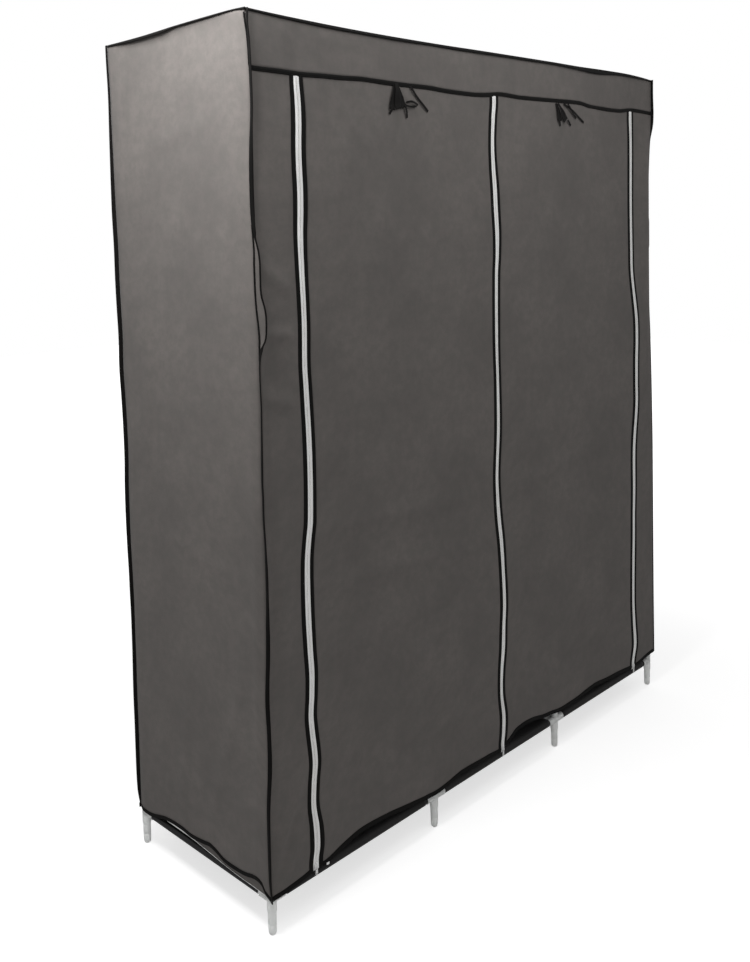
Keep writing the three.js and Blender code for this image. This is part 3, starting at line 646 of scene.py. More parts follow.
def hemAt(wallName, along):
    # the height of the middle of the hem tape
    if wallName == "front":
        return frontHem(along)
    if wallName == "left":
        return leftHem(along)
    if wallName == "right":
        start = frontHem(wall["cornerX"])
        return mix(start, 0.09, ease((along + 0.2225) / 0.1)) + 0.004 * ripple(along * 9, 0.0, 21.0)
    share = (along + wall["cornerX"]) / (2 * wall["cornerX"])
    level = mix(leftHem(wall["cornerY"]), hemAt("right", wall["cornerY"]), share)
    return level + 0.007 * ripple(along * 4, 0.0, 22.0) * math.sin(math.pi * share)


def roofPoint(x, y):
    # the roof meets the walls' top edges, lies on the top tubes and sags a little between them
    shareX, shareY = x / (2 * wall["cornerX"]) + 0.5, y / (2 * wall["cornerY"]) + 0.5
    tops = {wallName: topAt(wallName, x if wallName in ("front", "back") else y) for wallName in wallPoints}
    height = mix(tops["front"], tops["back"], shareY) + mix(tops["left"], tops["right"], shareX)
    low = mix(cornerRise[-1, -1], cornerRise[1, -1], shareX)
    height -= wall["edge"] + mix(low, mix(cornerRise[-1, 1], cornerRise[1, 1], shareX), shareY)
    across, along = math.sin(math.pi * shareY), abs(math.sin(math.pi * (x + 0.7342) / 0.4895))
    rim = ease((wall["cornerY"] - abs(y)) / 0.02) * ease((wall["cornerX"] - abs(x)) / 0.02)
    lift = (height - wall["edge"]) * (1 - 0.8 * ease((wall["cornerX"] - abs(x)) / 0.05)
                                      * ease((wall["cornerY"] - abs(y)) / 0.05))
    sag = 0.0013 + 0.0035 * across * along + 0.0008 * ripple(x * 9, y * 9, 31.0)
    left, right = sidePoint(-1, y, tops["left"]).x, sidePoint(1, y, tops["right"]).x
    front, back = frontPoint(x, tops["front"]).y, backPoint(x, tops["back"]).y
    return Vector((mix(left, right, shareX), mix(front, back, shareY), wall["edge"] + lift - sag * rim))


# The cover's cloth

def zipLine(zipName, z):
    return zipPlaces[zipName] + zipSway[zipName](z)


def zipEdge(zipName, side, z, inset):
    # where the cloth or tape beside a zip begins, on side -1 left or 1 right of it
    return zipLine(zipName, z) + side * (zipSpread[zipName](z) + inset)


def frontPatch(leftOf, rightOf, lowOf=frontHem, highOf=headerSeam):
    # a patch of the front wall between two upright lines and two level ones
    def place(u, v):
        x, z = mix(leftOf(1.0), rightOf(1.0), u), 1.0
        for _ in range(3):
            z = mix(lowOf(x), highOf(x), v)
            x = mix(leftOf(z), rightOf(z), u)
        return frontPoint(x, z)
    return place


def besideZip(zipName, side):
    # the cloth's edge, under the tape that binds it
    return lambda z: zipEdge(zipName, side, z, 0.007)


def leftCornerX(z):
    return cornerPoint(-1, -1, z).x


def rightCornerX(z):
    return cornerPoint(1, -1, z).x


def wallPatch(wallName, start, end):
    # a whole wall from hem to roof, between the seams of two corners, each a (side, end) pair
    axis = 0 if wallName == "back" else 1

    def place(u, v):
        along, z = 0.0, 1.0
        for _ in range(3):
            along = mix(cornerPoint(*start, z)[axis], cornerPoint(*end, z)[axis], u)
            z = mix(hemAt(wallName, along), topAt(wallName, along), v)
        return wallPoints[wallName](along, z)
    return place


def roofPatch(u, v):
    x = mix(-wall["cornerX"], wall["cornerX"], u)
    y = mix(-wall["cornerY"], wall["cornerY"], v)
    return roofPoint(x, y)


clothPieces = {
    "leftSidePanel": {"flat": (0.445, 1.655), "node": "cover_left_side",
                      "place": wallPatch("left", (-1, 1), (-1, -1))},
    "rightSidePanel": {"flat": (0.445, 1.655), "node": "cover_right_side",
                       "place": wallPatch("right", (1, -1), (1, 1))},
    "backPanel": {"flat": (1.493, 1.655), "node": "cover_back", "place": wallPatch("back", (1, 1), (-1, 1))},
    "roofPanel": {"flat": (1.493, 0.445), "node": "cover_roof", "place": roofPatch, "held": "stretched"},
    "headerPanel": {"flat": (1.493, 0.095), "node": "cover_header",
                    "place": frontPatch(leftCornerX, rightCornerX, headerSeam, lambda x: topAt("front", x))},
    "leftStrip": {"flat": (0.105, 1.565), "node": "cover_left_strip",
                  "place": frontPatch(leftCornerX, besideZip("left", -1))},
    "rightStrip": {"flat": (0.105, 1.56), "node": "cover_right_strip",
                   "place": frontPatch(besideZip("right", 1), rightCornerX)},
    "leftDoorCloth": {"flat": (0.604, 1.56), "node": "left_door", "body": "left_door",
                      "place": frontPatch(besideZip("left", 1), besideZip("centre", -1))},
    "rightDoorCloth": {"flat": (0.604, 1.555), "node": "right_door", "body": "right_door",
                       "place": frontPatch(besideZip("centre", 1), besideZip("right", -1))}}

for name, settings in clothPieces.items():
    body = settings.get("body", "wardrobe")
    piece = clothPiece(name, settings["flat"], wall["cell"], settings["place"], settings["node"], body)
    settings.get("held", "hung")
print("cover cloth hung")


# The black tape on every seam and edge

def frontTape(bm, steps, centreOf, width, thickness, lift, flip=1.0, widthOf=None):
    # tape laid on the front wall; centreOf(share) gives its middle in x and z
    ring = tapeRing(width, thickness)

    def place(share, across, out):
        x, z = centreOf(share)
        ahead, behind = centreOf(min(1.0, share + 0.002)), centreOf(max(0.0, share - 0.002))
        step = Vector((ahead[0] - behind[0], ahead[1] - behind[1])).normalized()
        across *= flip * (widthOf(share) if widthOf else 1.0)
        return frontPoint(x - step.y * across, z + step.x * across, out + lift)

    start, end = centreOf(0.0), centreOf(1.0)
    loft(bm, steps, ring, place, math.hypot(end[0] - start[0], end[1] - start[1]))


def finTape(bm, steps, rootOf, leanOf, width, thickness, length, widthOf):
    # tape that wraps a seam and lies over; leanOf(share) gives the way it lies and the way it faces
    ring = tapeRing(width, thickness)

    def place(share, across, out):
        lie, face = leanOf(share)
        across = (across + width / 2) * (widthOf(share) if widthOf else 1.0)
        return rootOf(share) + lie * across + face * out

    loft(bm, steps, ring, place, length)


tapes = {"zipWidth": 0.0115, "hemWidth": 0.0105, "sideHemWidth": 0.0085, "seamWidth": 0.0095,
         "cornerWidth": 0.0085, "roofWidth": 0.0085, "thickness": 0.0021, "step": 0.0075}

seamOpening = curveThrough([
    (1.124, 0.0), (1.13, 0.001), (1.145, 0.0092), (1.162, 0.0129), (1.202, 0.0158), (1.235, 0.0104),
    (1.272, 0.0102), (1.296, 0.01), (1.336, 0.0038), (1.35, 0.0), (1.64, 0.0), (1.676, 0.0015),
    (1.708, 0.0028), (1.745, 0.0058)])
cornerLean = curveThrough([
    (0.1, 27), (0.124, 36), (0.23, 48), (0.3, 63), (0.336, 76), (0.406, 67), (0.44, 79), (0.475, 79),
    (0.51, 66), (0.579, 72), (0.648, 40), (0.716, 34), (0.751, 23), (0.853, 22), (0.92, 24), (1.021, 13),
    (1.088, 14), (1.118, 24), (1.14, 76), (1.188, 84), (1.287, 84), (1.319, 77), (1.352, 62), (1.385, 77),
    (1.45, 84), (1.483, 77), (1.515, 53), (1.548, 35), (1.644, 37), (1.708, 50), (1.74, 84)])
frontRightLean = curveThrough([
    (0.1, -48), (0.3, -60), (1.5, -80), (1.58, -70), (1.64, 20), (1.7, 60), (1.75, 65)])
backLeftLean = curveThrough([
    (0.085, -80), (0.105, -45), (0.13, -8), (0.25, 0), (0.4, 4), (0.5, -4), (0.65, 2), (0.8, -3), (0.95, 3),
    (1.15, -2), (1.33, 0), (1.43, 12), (1.53, 30), (1.62, 46), (1.75, 54)])


def cornerLie(side, end, z):
    # the direction in which a corner's tape lies over, and its outer face
    leans = {(-1, -1): cornerLean, (1, -1): frontRightLean, (-1, 1): backLeftLean}
    if (side, end) in leans:
        turn = math.radians(leans[side, end](z))
    else:
        turn = math.radians(52 + 26 * ripple(z * 3.1, side * 2.0, end * 3.0 + 7))
    out = Vector((side, end, 0)) * math.sqrt(0.5)
    over = Vector((-side, end, 0)) * math.sqrt(0.5)
    lie = out * math.cos(turn) + over * math.sin(turn)
    return lie, out * math.sin(turn) - over * math.cos(turn)


def stepsFor(length):
    return max(4, round(length / tapes["step"]))


def addSeamTape(bm, side, end, low, high, startOf, lift, width, thickness, widthOf=None):
    # tape along a corner's seam; startOf(z) is how far off the seam it begins
    def leanOf(share):
        return cornerLie(side, end, mix(low, high, share))

    def rootOf(share):
        z = mix(low, high, share)
        lie, face = leanOf(share)
        return cornerPoint(side, end, z) + lie * startOf(z) + face * lift

    finTape(bm, stepsFor(high - low), rootOf, leanOf, width, thickness, high - low, widthOf)


def addCornerTape(bm, side, end):
    opened = side < 0 and end < 0
    low = hemAt(sideNames[side], end * wall["cornerY"]) - (0.004 if end < 0 else 0.001)
    high = wall["edge"] + cornerRise[side, end] + (-0.0008 if opened else 0.0005)

    def widthOf(share):
        z = mix(low, high, share)
        narrow = 1 - 0.6 * ease(seamOpening(z) / 0.004) if opened else 1.0
        if side < 0 and end > 0:
            narrow = backLeftWidth(z)
        return narrow * (1 + 0.08 * ripple(z * 7, side * 5.0, end * 2.0))

    addSeamTape(bm, side, end, low, high, lambda z: (seamOpening(z) if opened else 0.0) - 0.0012, 0.0003,
              tapes["cornerWidth"], tapes["thickness"], widthOf)


def addRoofTape(bm, wallName):
    alongX, side = wallName in ("front", "back"), -1 if wallName in ("front", "left") else 1
    half = wall["cornerX"] if alongX else wall["cornerY"]
    seed = side * 3.0 + (11.0 if alongX else 17.0)

    def rootOf(share):
        at = mix(-half - 0.001, half + 0.001, share)
        return wallPoints[wallName](at, topAt(wallName, at))

    def leanOf(share):
        at = mix(-half, half, share)
        turn = math.radians(68 + 9 * ripple(at * 4, 0.0, seed))
        if wallName == "front":
            turn += math.radians(16) * bump(at - 0.46, 0.1)
        away = Vector((0, side, 0)) if alongX else Vector((side, 0, 0))
        lie = away * math.cos(turn) - Vector((0, 0, 1)) * math.sin(turn)
        return lie, away * math.sin(turn) + Vector((0, 0, 1)) * math.cos(turn)

    def widthOf(share):
        at = mix(-half, half, share)
        wide = (0.9 + 0.2 * ripple(at * 7, 0.0, seed)) * (0.62 + 0.38 * ease((half - abs(at)) / 0.12))
        if wallName == "left":
            wide *= 1 - 0.45 * ease((0.04 - at) / 0.06) * ease((at + half) / 0.03)
        # near x 0.45 the front roof tape lies further over and is made wider: the lean is real, the extra
        # width is painted shade standing in for the shaded bend of the header's top edge
        return wide + (0.75 * bump(at - 0.45, 0.085) if wallName == "front" else 0.0)

    finTape(bm, stepsFor(2 * half), rootOf, leanOf, tapes["roofWidth"], tapes["thickness"], 2 * half, widthOf)


def addHemTape(bm, wallName, start, end, width):
    def place(share, across, out):
        at = mix(start, end, share)
        height = hemAt(wallName, at) + across * (1 + 0.08 * ripple(at * 11, 0.0, 61.0))
        return wallPoints[wallName](at, height, out)

    loft(bm, stepsFor(abs(end - start)), tapeRing(width, tapes["thickness"]), place, abs(end - start))


def addZipTape(bm, zipName, side, low, high):
    def centreOf(share):
        z = mix(low, high, share)
        return zipEdge(zipName, side, z, tapes["zipWidth"] / 2), z

    frontTape(bm, stepsFor(high - low), centreOf, tapes["zipWidth"], tapes["thickness"] * 1.05, 0.0002, side)


def finishTape(name, bm, node="cover_binding", body="wardrobe"):
    closeEnds(bm)
    keepPiece(name, bm, bindingTape, "black_tape", body, (node,))


cornerTapes = bmesh.new()
for side in (-1, 1):
    for end in (-1, 1):
        addCornerTape(cornerTapes, side, end)
for low, high in ((1.112, 1.362), (1.65, 1.744)):
    # the narrow bound edge that shows where the front left seam opens
    addSeamTape(cornerTapes, -1, -1, low, high, lambda z: -0.0018, 0.0004, 0.0034, 0.0022)
finishTape("cornerBinding", cornerTapes)

roofTapes = bmesh.new()
for wallName in ("front", "left", "back", "right"):
    addRoofTape(roofTapes, wallName)
finishTape("roofBinding", roofTapes)

seamTape = bmesh.new()
seamEnds = (leftCornerX(1.66) + 0.0005, rightCornerX(1.66) - 0.0005)


def seamMiddle(share):
    x = mix(seamEnds[0], seamEnds[1], share)
    return x, headerSeam(x)


frontTape(seamTape, stepsFor(1.49), seamMiddle, tapes["seamWidth"], tapes["thickness"] * 1.1, 0.0006,
          widthOf=lambda share: 1 + 0.12 * ripple(share * 22, 0.0, 71.0))
finishTape("headerBinding", seamTape)

hemTapes = bmesh.new()
wallEnd = {"x": wall["cornerX"] - 0.0005, "y": wall["cornerY"] - 0.0005}
addHemTape(hemTapes, "left", wallEnd["y"], -wallEnd["y"], tapes["sideHemWidth"])
addHemTape(hemTapes, "right", -wallEnd["y"], wallEnd["y"], tapes["sideHemWidth"])
addHemTape(hemTapes, "back", wallEnd["x"], -wallEnd["x"], tapes["hemWidth"])
addHemTape(hemTapes, "front", leftCornerX(0.08), zipEdge("left", -1, 0.09, 0.001), tapes["hemWidth"])
addHemTape(hemTapes, "front", zipEdge("right", 1, 0.09, 0.001), rightCornerX(0.1), tapes["hemWidth"])
finishTape("hemBinding", hemTapes)

stripTapes = bmesh.new()
addZipTape(stripTapes, "left", -1, frontHem(-0.64) - 0.005, headerSeam(-0.64))
addZipTape(stripTapes, "right", 1, frontHem(0.64) - 0.005, headerSeam(0.64))
finishTape("stripBinding", stripTapes)

for door, (firstZip, lastZip) in {"left_door": ("left", "centre"), "right_door": ("centre", "right")}.items():
    bm = bmesh.new()
    for zipName, side in ((firstZip, 1), (lastZip, -1)):
        x = zipEdge(zipName, side, 0.09, tapes["zipWidth"] / 2)
        addZipTape(bm, zipName, side, frontHem(x) - 0.005, headerSeam(x))
    start, end = zipEdge(firstZip, 1, 0.09, 0.001), zipEdge(lastZip, -1, 0.09, 0.001)
    addHemTape(bm, "front", start, end, tapes["hemWidth"])
    finishTape(door.replace("_door", "DoorBinding"), bm, door + "_binding", door)
print("seams bound")


# The zips

zipParts = {"tape": 0.0068, "tapeThickness": 0.0007, "low": 0.0845, "pitch": 0.002, "lean": 9, "teeth": 900,
            "tooth": (0.0029, 0.0011, 0.00095), "lowStop": (0.0032, 0.0016, 0.0026),
            "highStop": (0.003, 0.0016, 0.0022)}
zipBodies = {("left", -1): "wardrobe", ("left", 1): "left_door", ("centre", -1): "left_door",
             ("centre", 1): "right_door", ("right", -1): "right_door", ("right", 1): "wardrobe"}


def addBlock(bm, size, at, lean=0.0):
    # a tooth, a stop or a slider's flange: a small block with its edges taken off
    made = bmesh.ops.create_cube(bm, size=1.0)["verts"]
    bmesh.ops.scale(bm, vec=size, verts=made)
    edges = list({edge for vert in made for edge in vert.link_edges})
    bevelled = bmesh.ops.bevel(bm, geom=edges, offset=min(size) * 0.28, segments=1, profile=0.5,
                               affect="EDGES", material=-1)
    verts = [vert for vert in bevelled["verts"] if vert.is_valid]
    bmesh.ops.rotate(bm, matrix=Matrix.Rotation(math.radians(lean), 3, "Y"), verts=verts)
    bmesh.ops.translate(bm, vec=at, verts=verts)


def toothChain():
    # one long straight run of teeth on the right of a slot, doubled until it is long enough
    bm = bmesh.new()
    tooth, pitch = zipParts["tooth"], zipParts["pitch"]
    addBlock(bm, tooth, (tooth[0] / 2 - 0.0003, -0.0018, 0.0), zipParts["lean"])
    count = 1
    while count < zipParts["teeth"]:
        made = bmesh.ops.duplicate(bm, geom=bm.verts[:] + bm.edges[:] + bm.faces[:])["geom"]
        bmesh.ops.translate(bm, vec=(0, 0, count * pitch),
                            verts=[item for item in made if isinstance(item, bmesh.types.BMVert)])
        count *= 2
    mesh = bpy.data.meshes.new("toothChain")
    bm.to_mesh(mesh)
    bm.free()
    return mesh


chain = toothChain()


def zipCoilHalf(zipName, side, high):
    bm = bmesh.new()
    bm.from_mesh(chain)
    low, pitch = zipParts["low"], zipParts["pitch"]
    start = low + zipParts["lowStop"][2] + (pitch if side < 0 else pitch * 1.5)
    count = int((high - 0.006 - start) / pitch)
    spare = [vert for vert in bm.verts if round(vert.co.z / pitch) > count]
    bmesh.ops.delete(bm, geom=spare, context="VERTS")
    bmesh.ops.scale(bm, vec=(side, 1, 1), verts=bm.verts)
    bmesh.ops.translate(bm, vec=(0, 0, start), verts=bm.verts)
    addBlock(bm, zipParts["lowStop"], (side * 0.0019, -0.0012, low + 0.0014))
    addBlock(bm, zipParts["highStop"], (side * 0.0019, -0.0012, high - 0.004))
    middles = {}
    for vert in bm.verts:
        height = round(vert.co.z, 4)
        if height not in middles:
            middle = zipLine(zipName, height)
            middles[height] = (middle, frontPoint(middle, height).y)
        middle, depth = middles[height]
        vert.co = Vector((middle + vert.co.x, depth + vert.co.y, vert.co.z))
    return bm


def zipTapeHalf(zipName, side, high):
    bm = bmesh.new()
    low = zipParts["low"]
    ring = tapeRing(zipParts["tape"], zipParts["tapeThickness"], 0.0)

    def place(share, across, out):
        z = mix(low, high, share)
        x = zipLine(zipName, z) + side * (across + zipParts["tape"] / 2 + 0.0005)
        return frontPoint(x, z, out + 0.0009)

    loft(bm, stepsFor(high - low), ring, place, high - low)
    closeEnds(bm)
    return bm


for (zipName, side), body in zipBodies.items():
    node = "zip_" + zipName + ("_tape_a" if side < 0 else "_tape_b")
    label = zipName + "Zip" + ("A" if side < 0 else "B")
    high = headerSeam(zipPlaces[zipName]) - 0.001
    for name, bm, material in ((label + "Tape", zipTapeHalf(zipName, side, high), zipTape),
                               (label + "Coil", zipCoilHalf(zipName, side, high), zipCoil)):
        keepPiece(name, bm, material, "zip_tape", body, (node,), 35)
print("zips laid")


# Sliders and pulls

sliderParts = {"height": 0.0948, "halfLength": 0.0068, "shoulder": 0.0054, "nose": 0.0039, "bevel": 0.00028,
               "plates": ((-0.0032, -0.0024), (0.001, 0.0018)), "post": (-0.0026, 0.0012),
               "flanges": ((-0.0026, -0.0018), (0.0006, 0.0012)),
               "bail": [(-0.0026, 0.0054), (-0.0046, 0.0054), (-0.0056, 0.0048), (-0.00585, 0.003)]}
pullParts = {"top": -0.0016, "low": -0.0216, "half": 0.0035, "waist": -0.0122, "slot": -0.0062,
             "hole": -0.018, "front": -0.0042, "back": -0.0034, "bevel": 0.00025}


def roundedRim(turn, power):
    return (math.copysign(abs(math.cos(turn)) ** power, math.cos(turn)),
            math.copysign(abs(math.sin(turn)) ** power, math.sin(turn)))


def addRim(bm, outline, steps):
    made = bmesh.ops.create_circle(bm, cap_ends=False, segments=steps, radius=1.0)["verts"]
    for vert in made:
        across, up = outline(math.atan2(vert.co.y, vert.co.x))
        vert.co = (across, 0.0, up)


def addPlate(bm, rims, front, back, place, bevel):
    # a flat plate between two depths; the first rim is its outline and the others are its holes
    part = bmesh.new()
    for outline, steps in rims:
        addRim(part, outline, steps)
    bmesh.ops.triangle_fill(part, edges=part.edges[:], use_beauty=True)
    raised = bmesh.ops.extrude_face_region(part, geom=part.faces[:])["geom"]
    bmesh.ops.translate(part, vec=(0, back - front, 0),
                        verts=[item for item in raised if isinstance(item, bmesh.types.BMVert)])
    bmesh.ops.translate(part, vec=(0, front, 0), verts=part.verts)
    bmesh.ops.recalc_face_normals(part, faces=part.faces)
    rim = [edge for edge in part.edges if edge.calc_face_angle(0.0) > 1.2]
    bmesh.ops.bevel(part, geom=rim, offset=bevel, segments=2, profile=0.5, affect="EDGES", material=-1)
    addShell(bm, part, Matrix.Translation(place))


def sliderOutline(turn):
    across, up = roundedRim(turn, 0.62)
    half = mix(sliderParts["shoulder"], sliderParts["nose"], ease(up * 0.5 + 0.5))
    notch = 0.0007 * bump(across, 0.28) if up < 0 else 0.0
    return across * half, up * sliderParts["halfLength"] + notch


def addBail(bm, place):
    # the arch on the slider's front that holds the pull
    half = sliderParts["bail"]
    path = [Vector((0, y, z)) for y, z in half] + [Vector((0, y, -z)) for y, z in reversed(half)]
    ring = [(-0.0011, 0.0), (-0.0008, 0.00035), (0.0008, 0.00035), (0.0011, 0.0), (0.0008, -0.0003),
            (-0.0008, -0.0003)]

    def placeAt(share, across, out):
        at = share * (len(path) - 1)
        index = min(len(path) - 2, int(at))
        step = (path[index + 1] - path[index]).normalized()
        middle = path[index].lerp(path[index + 1], at - index)
        outward = Vector((1, 0, 0)).cross(step).normalized()
        if outward.y > 0 and abs(step.z) > 0.5:
            outward = -outward
        return Vector(place) + middle + Vector((across, 0, 0)) + outward * out

    part = bmesh.new()
    loft(part, (len(path) - 1) * 2, ring, placeAt)
    closeEnds(part)
    addShell(bm, part)


def makeSlider(x):
    bm = bmesh.new()
    middle = (x, -wall["front"], sliderParts["height"])
    for front, back in sliderParts["plates"]:
        addPlate(bm, [(sliderOutline, 36)], front, back, middle, sliderParts["bevel"])
    addPlate(bm, [(lambda turn: (math.cos(turn) * 0.0009, math.sin(turn) * 0.0024 - 0.003), 16)],
             *sliderParts["post"], middle, 0.0002)
    for side in (-1, 1):
        for front, back in sliderParts["flanges"]:
            flange = bmesh.new()
            at = (side * 0.0045, (front + back) / 2, -0.0008)
            addBlock(flange, (0.0007, back - front, 0.01), at, side * -5)
            addShell(bm, flange, Matrix.Translation(middle))
    addBail(bm, middle)
    return bm


def makePull(x):
    def outline(turn):
        across, up = roundedRim(turn, 0.66)
        height = mix(pullParts["low"], pullParts["top"], up * 0.5 + 0.5)
        waist = 1 - 0.2 * bump(height - pullParts["waist"], 0.003)
        return across * pullParts["half"] * waist, height

    def slot(turn):
        across, up = roundedRim(turn, 0.6)
        return across * 0.0019, pullParts["slot"] + up * 0.0034

    def hole(turn):
        return math.cos(turn) * 0.0014, pullParts["hole"] + math.sin(turn) * 0.0014

    bm = bmesh.new()
    addPlate(bm, [(outline, 56), (slot, 28), (hole, 20)], pullParts["front"], pullParts["back"],
             (x, -wall["front"], sliderParts["height"]), pullParts["bevel"])
    return bm


for zipName, x in zipPlaces.items():
    for label, bm in (("slider", makeSlider(x)), ("pull", makePull(x))):
        keepPiece(zipName + label.capitalize(), bm, zipMetal, "zip_metal", zipName + "_" + label,
                  ("zip_" + zipName + "_" + label,), 40)
print("sliders made")


# The ribbons that hold a rolled door

ribbonRuns = {"left_door": [
    ([(-0.3475, 1.649, 0.0016), (-0.352, 1.63, 0.003), (-0.356, 1.611, 0.0028), (-0.3585, 1.5945, 0.0022)],
     0.007, 12, 2.3),
    ([(-0.3445, 1.649, 0.003), (-0.344, 1.631, 0.0048), (-0.3425, 1.613, 0.004), (-0.3395, 1.597, 0.003)],
     0.0075, -10, 2.7),
    ([(-0.341, 1.649, 0.0022), (-0.335, 1.631, 0.004), (-0.327, 1.615, 0.0034), (-0.32, 1.601, 0.0024)],
     0.006, 14, 2.5),
    ([(-0.359, 1.602, 0.0036), (-0.3615, 1.593, 0.0038), (-0.366, 1.585, 0.0022)], 0.0056, 8, 1.0),
    ([(-0.3175, 1.606, 0.004), (-0.3125, 1.593, 0.0038), (-0.31, 1.58, 0.0022)], 0.0056, -8, 1.0),
    ([(-0.313, 1.6125, 0.0036), (-0.298, 1.615, 0.0046), (-0.283, 1.612, 0.004), (-0.2735, 1.6095, 0.0018)],
     0.0046, 10, 1.0),
    ([(-0.315, 1.606, 0.0032), (-0.298, 1.6045, 0.0036), (-0.28, 1.6065, 0.0026)], 0.0042, -14, 1.0),
    ([(-0.2995, 1.649, 0.0014), (-0.29, 1.6385, 0.003), (-0.274, 1.624, 0.002), (-0.258, 1.611, 0.0032),
      (-0.24, 1.598, 0.0016)], 0.0058, -8, 1.0)], "right_door": [
    ([(0.259, 1.65, 0.0016), (0.264, 1.634, 0.0034), (0.27, 1.618, 0.003), (0.275, 1.606, 0.002)],
     0.007, 14, 2.3),
    ([(0.264, 1.65, 0.0036), (0.274, 1.636, 0.0052), (0.288, 1.621, 0.004), (0.3, 1.609, 0.0026)],
     0.0068, -12, 2.8),
    ([(0.27, 1.608, 0.003), (0.273, 1.601, 0.0032), (0.2754, 1.5945, 0.002)], 0.0056, 6, 1.0),
    ([(0.308, 1.611, 0.0034), (0.316, 1.605, 0.0034), (0.3248, 1.5985, 0.002)], 0.0056, -8, 1.0),
    ([(0.2924, 1.651, 0.002), (0.32, 1.639, 0.0036), (0.354, 1.625, 0.0026), (0.3873, 1.6095, 0.0016)],
     0.0058, -10, 1.0),
    ([(0.308, 1.651, 0.0034), (0.318, 1.64, 0.005), (0.332, 1.629, 0.004), (0.348, 1.6175, 0.0022)],
     0.0052, 16, 1.0)]}


def addRibbon(bm, points, width, twist, flare):
    shares = [index / (len(points) - 1) for index in range(len(points))]
    runs = [curveThrough([(share, point[axis]) for share, point in zip(shares, points)]) for axis in range(3)]

    def place(share, across, out):
        here = Vector([run(share) for run in runs])
        step = Vector([run(min(1.0, share + 0.02)) - run(max(0.0, share - 0.02)) for run in runs])
        side = Vector((step.y, -step.x)).normalized()
        turn = math.radians(twist) * math.sin(math.pi * share * 1.3)
        across *= mix(1.0, flare, ease(share * 1.2))
        x, z = here.x + side.x * across * math.cos(turn), here.y + side.y * across * math.cos(turn)
        return frontPoint(x, z, here.z + abs(across * math.sin(turn)) + out)

    loft(bm, 26, tapeRing(width, 0.0006, 0.2), place, 0.07)


for door, runs in ribbonRuns.items():
    bm = bmesh.new()
    for points, width, twist, flare in runs:
        addRibbon(bm, points, width, twist, flare)
    closeEnds(bm)
    side = door.split("_")[0]
    keepPiece(side + "Ribbons", bm, tieRibbon, "black_tape", door, (side + "_tie",))
print("ribbons tied")


# The open part of the front left seam, the facing inside the left hem, and a pale strip of painted highlight
# along the facing's lower edge

flange = {"low": 1.116, "high": 1.358, "width": 0.01, "thickness": 0.0009}


def flangePoint(share, across, out):
    z = mix(flange["low"], flange["high"], share)
    lie, face = cornerLie(-1, -1, z)
    reach = (across / flange["width"] + 0.5) * (seamOpening(z) + 0.0006) - 0.0004
    return cornerPoint(-1, -1, z) + lie * reach + face * out


bm = bmesh.new()
loft(bm, stepsFor(0.5), tapeRing(flange["width"], flange["thickness"], 0.0), flangePoint,
     flange["high"] - flange["low"])
closeEnds(bm)
keepPiece("leftSeamFlange", bm, coverCloth, "cover_cloth", replaces=("cover_left_strip",))

facing = {"from": 0.052, "to": -0.212, "flat": (0.264, 0.03), "inset": 0.0032, "cell": 0.005}


def facingLow(share):
    return mix(0.0905, 0.0795, ease(share * 1.4))


def facingPoint(u, v):
    y = mix(facing["from"], facing["to"], u)
    top = leftHem(y) + 0.008
    low = facingLow(u) + 0.0016 * ripple(y * 20, 0.0, 81.0)
    point = sidePoint(-1, y, mix(low, top, v))
    return Vector((point.x + facing["inset"] + 0.0012 * ripple(y * 15, v, 82.0), point.y, point.z))


piece = clothPiece("leftHemFacing", facing["flat"], facing["cell"], facingPoint, "cover_left_side")

# a pale strip in the white tape finish along the facing's lower edge: painted highlight, standing in for the
# lit edge and the bright gap under the hem
paintedHighlightHeight = curveThrough([
    (-0.212, 0.0006), (-0.1, 0.0008), (0.0, 0.0014), (0.05, 0.0034), (0.11, 0.004), (0.15, 0.0026),
    (0.175, 0.0008)])


def paintedHighlightPoint(share, across, out):
    y = mix(0.172, -0.208, share)
    low = facingLow((facing["from"] - y) / (facing["from"] - facing["to"]))
    point = sidePoint(-1, y, low + paintedHighlightHeight(y) * (across + 0.5) - 0.0006)
    return Vector((point.x + facing["inset"] - 0.0006 - out, point.y, point.z))


# the pale strip of painted highlight under the left hem
bm = bmesh.new()
loft(bm, 60, [(-0.5, 0.0), (-0.3, 0.0004), (0.3, 0.0004), (0.5, 0.0), (0.3, -0.0003), (-0.3, -0.0003)],
     paintedHighlightPoint, 0.38)
closeEnds(bm)
keepPiece("leftHemPaintedHighlight", bm, zipTape, "zip_tape")

tack = {"at": (-0.5965, 0.084), "length": 0.007, "thread": 0.00045, "rows": 6, "pitch": 0.0008}
bm = bmesh.new()
threadRing = [(math.cos(turn * math.pi / 4) * tack["thread"], math.sin(turn * math.pi / 4) * tack["thread"])
              for turn in range(8)]
for row in range(tack["rows"]):
    def threadPoint(share, across, out):
        z = tack["at"][1] + (row - tack["rows"] / 2 + 0.5) * tack["pitch"]
        x = tack["at"][0] + (share - 0.5) * tack["length"] * (1 + 0.12 * ripple(row * 3.1, 0.0, 84.0))
        return frontPoint(x, z + across, 0.0016 + 0.0009 * math.sin(math.pi * share) + out)

    loft(bm, 12, threadRing, threadPoint, tack["length"])
closeEnds(bm)
keepPiece("leftTack", bm, zipTape, "zip_tape", "left_door")
print("hem facing hung")


# The frame: tubes in plastic connectors

column = {"outer": 0.7342, "inner": 0.24473, "row": 0.2092}
columns = (-column["outer"], -column["inner"], column["inner"], column["outer"])
rows = {"front": -column["row"], "back": column["row"]}
levels = (0.072, 0.48755, 0.9031, 1.31865, 1.7342)
tube = {"radius": 0.008, "wall": 0.0007, "end": 0.0124, "sides": 28}
arm = {"radius": 0.0092, "bead": 0.0095, "lip": 0.0096, "floor": 0.012, "bore": 0.0081, "sides": 28}


def mirrored(half):
    return [(radius, -height) for radius, height in reversed(half) if height > 0] + half


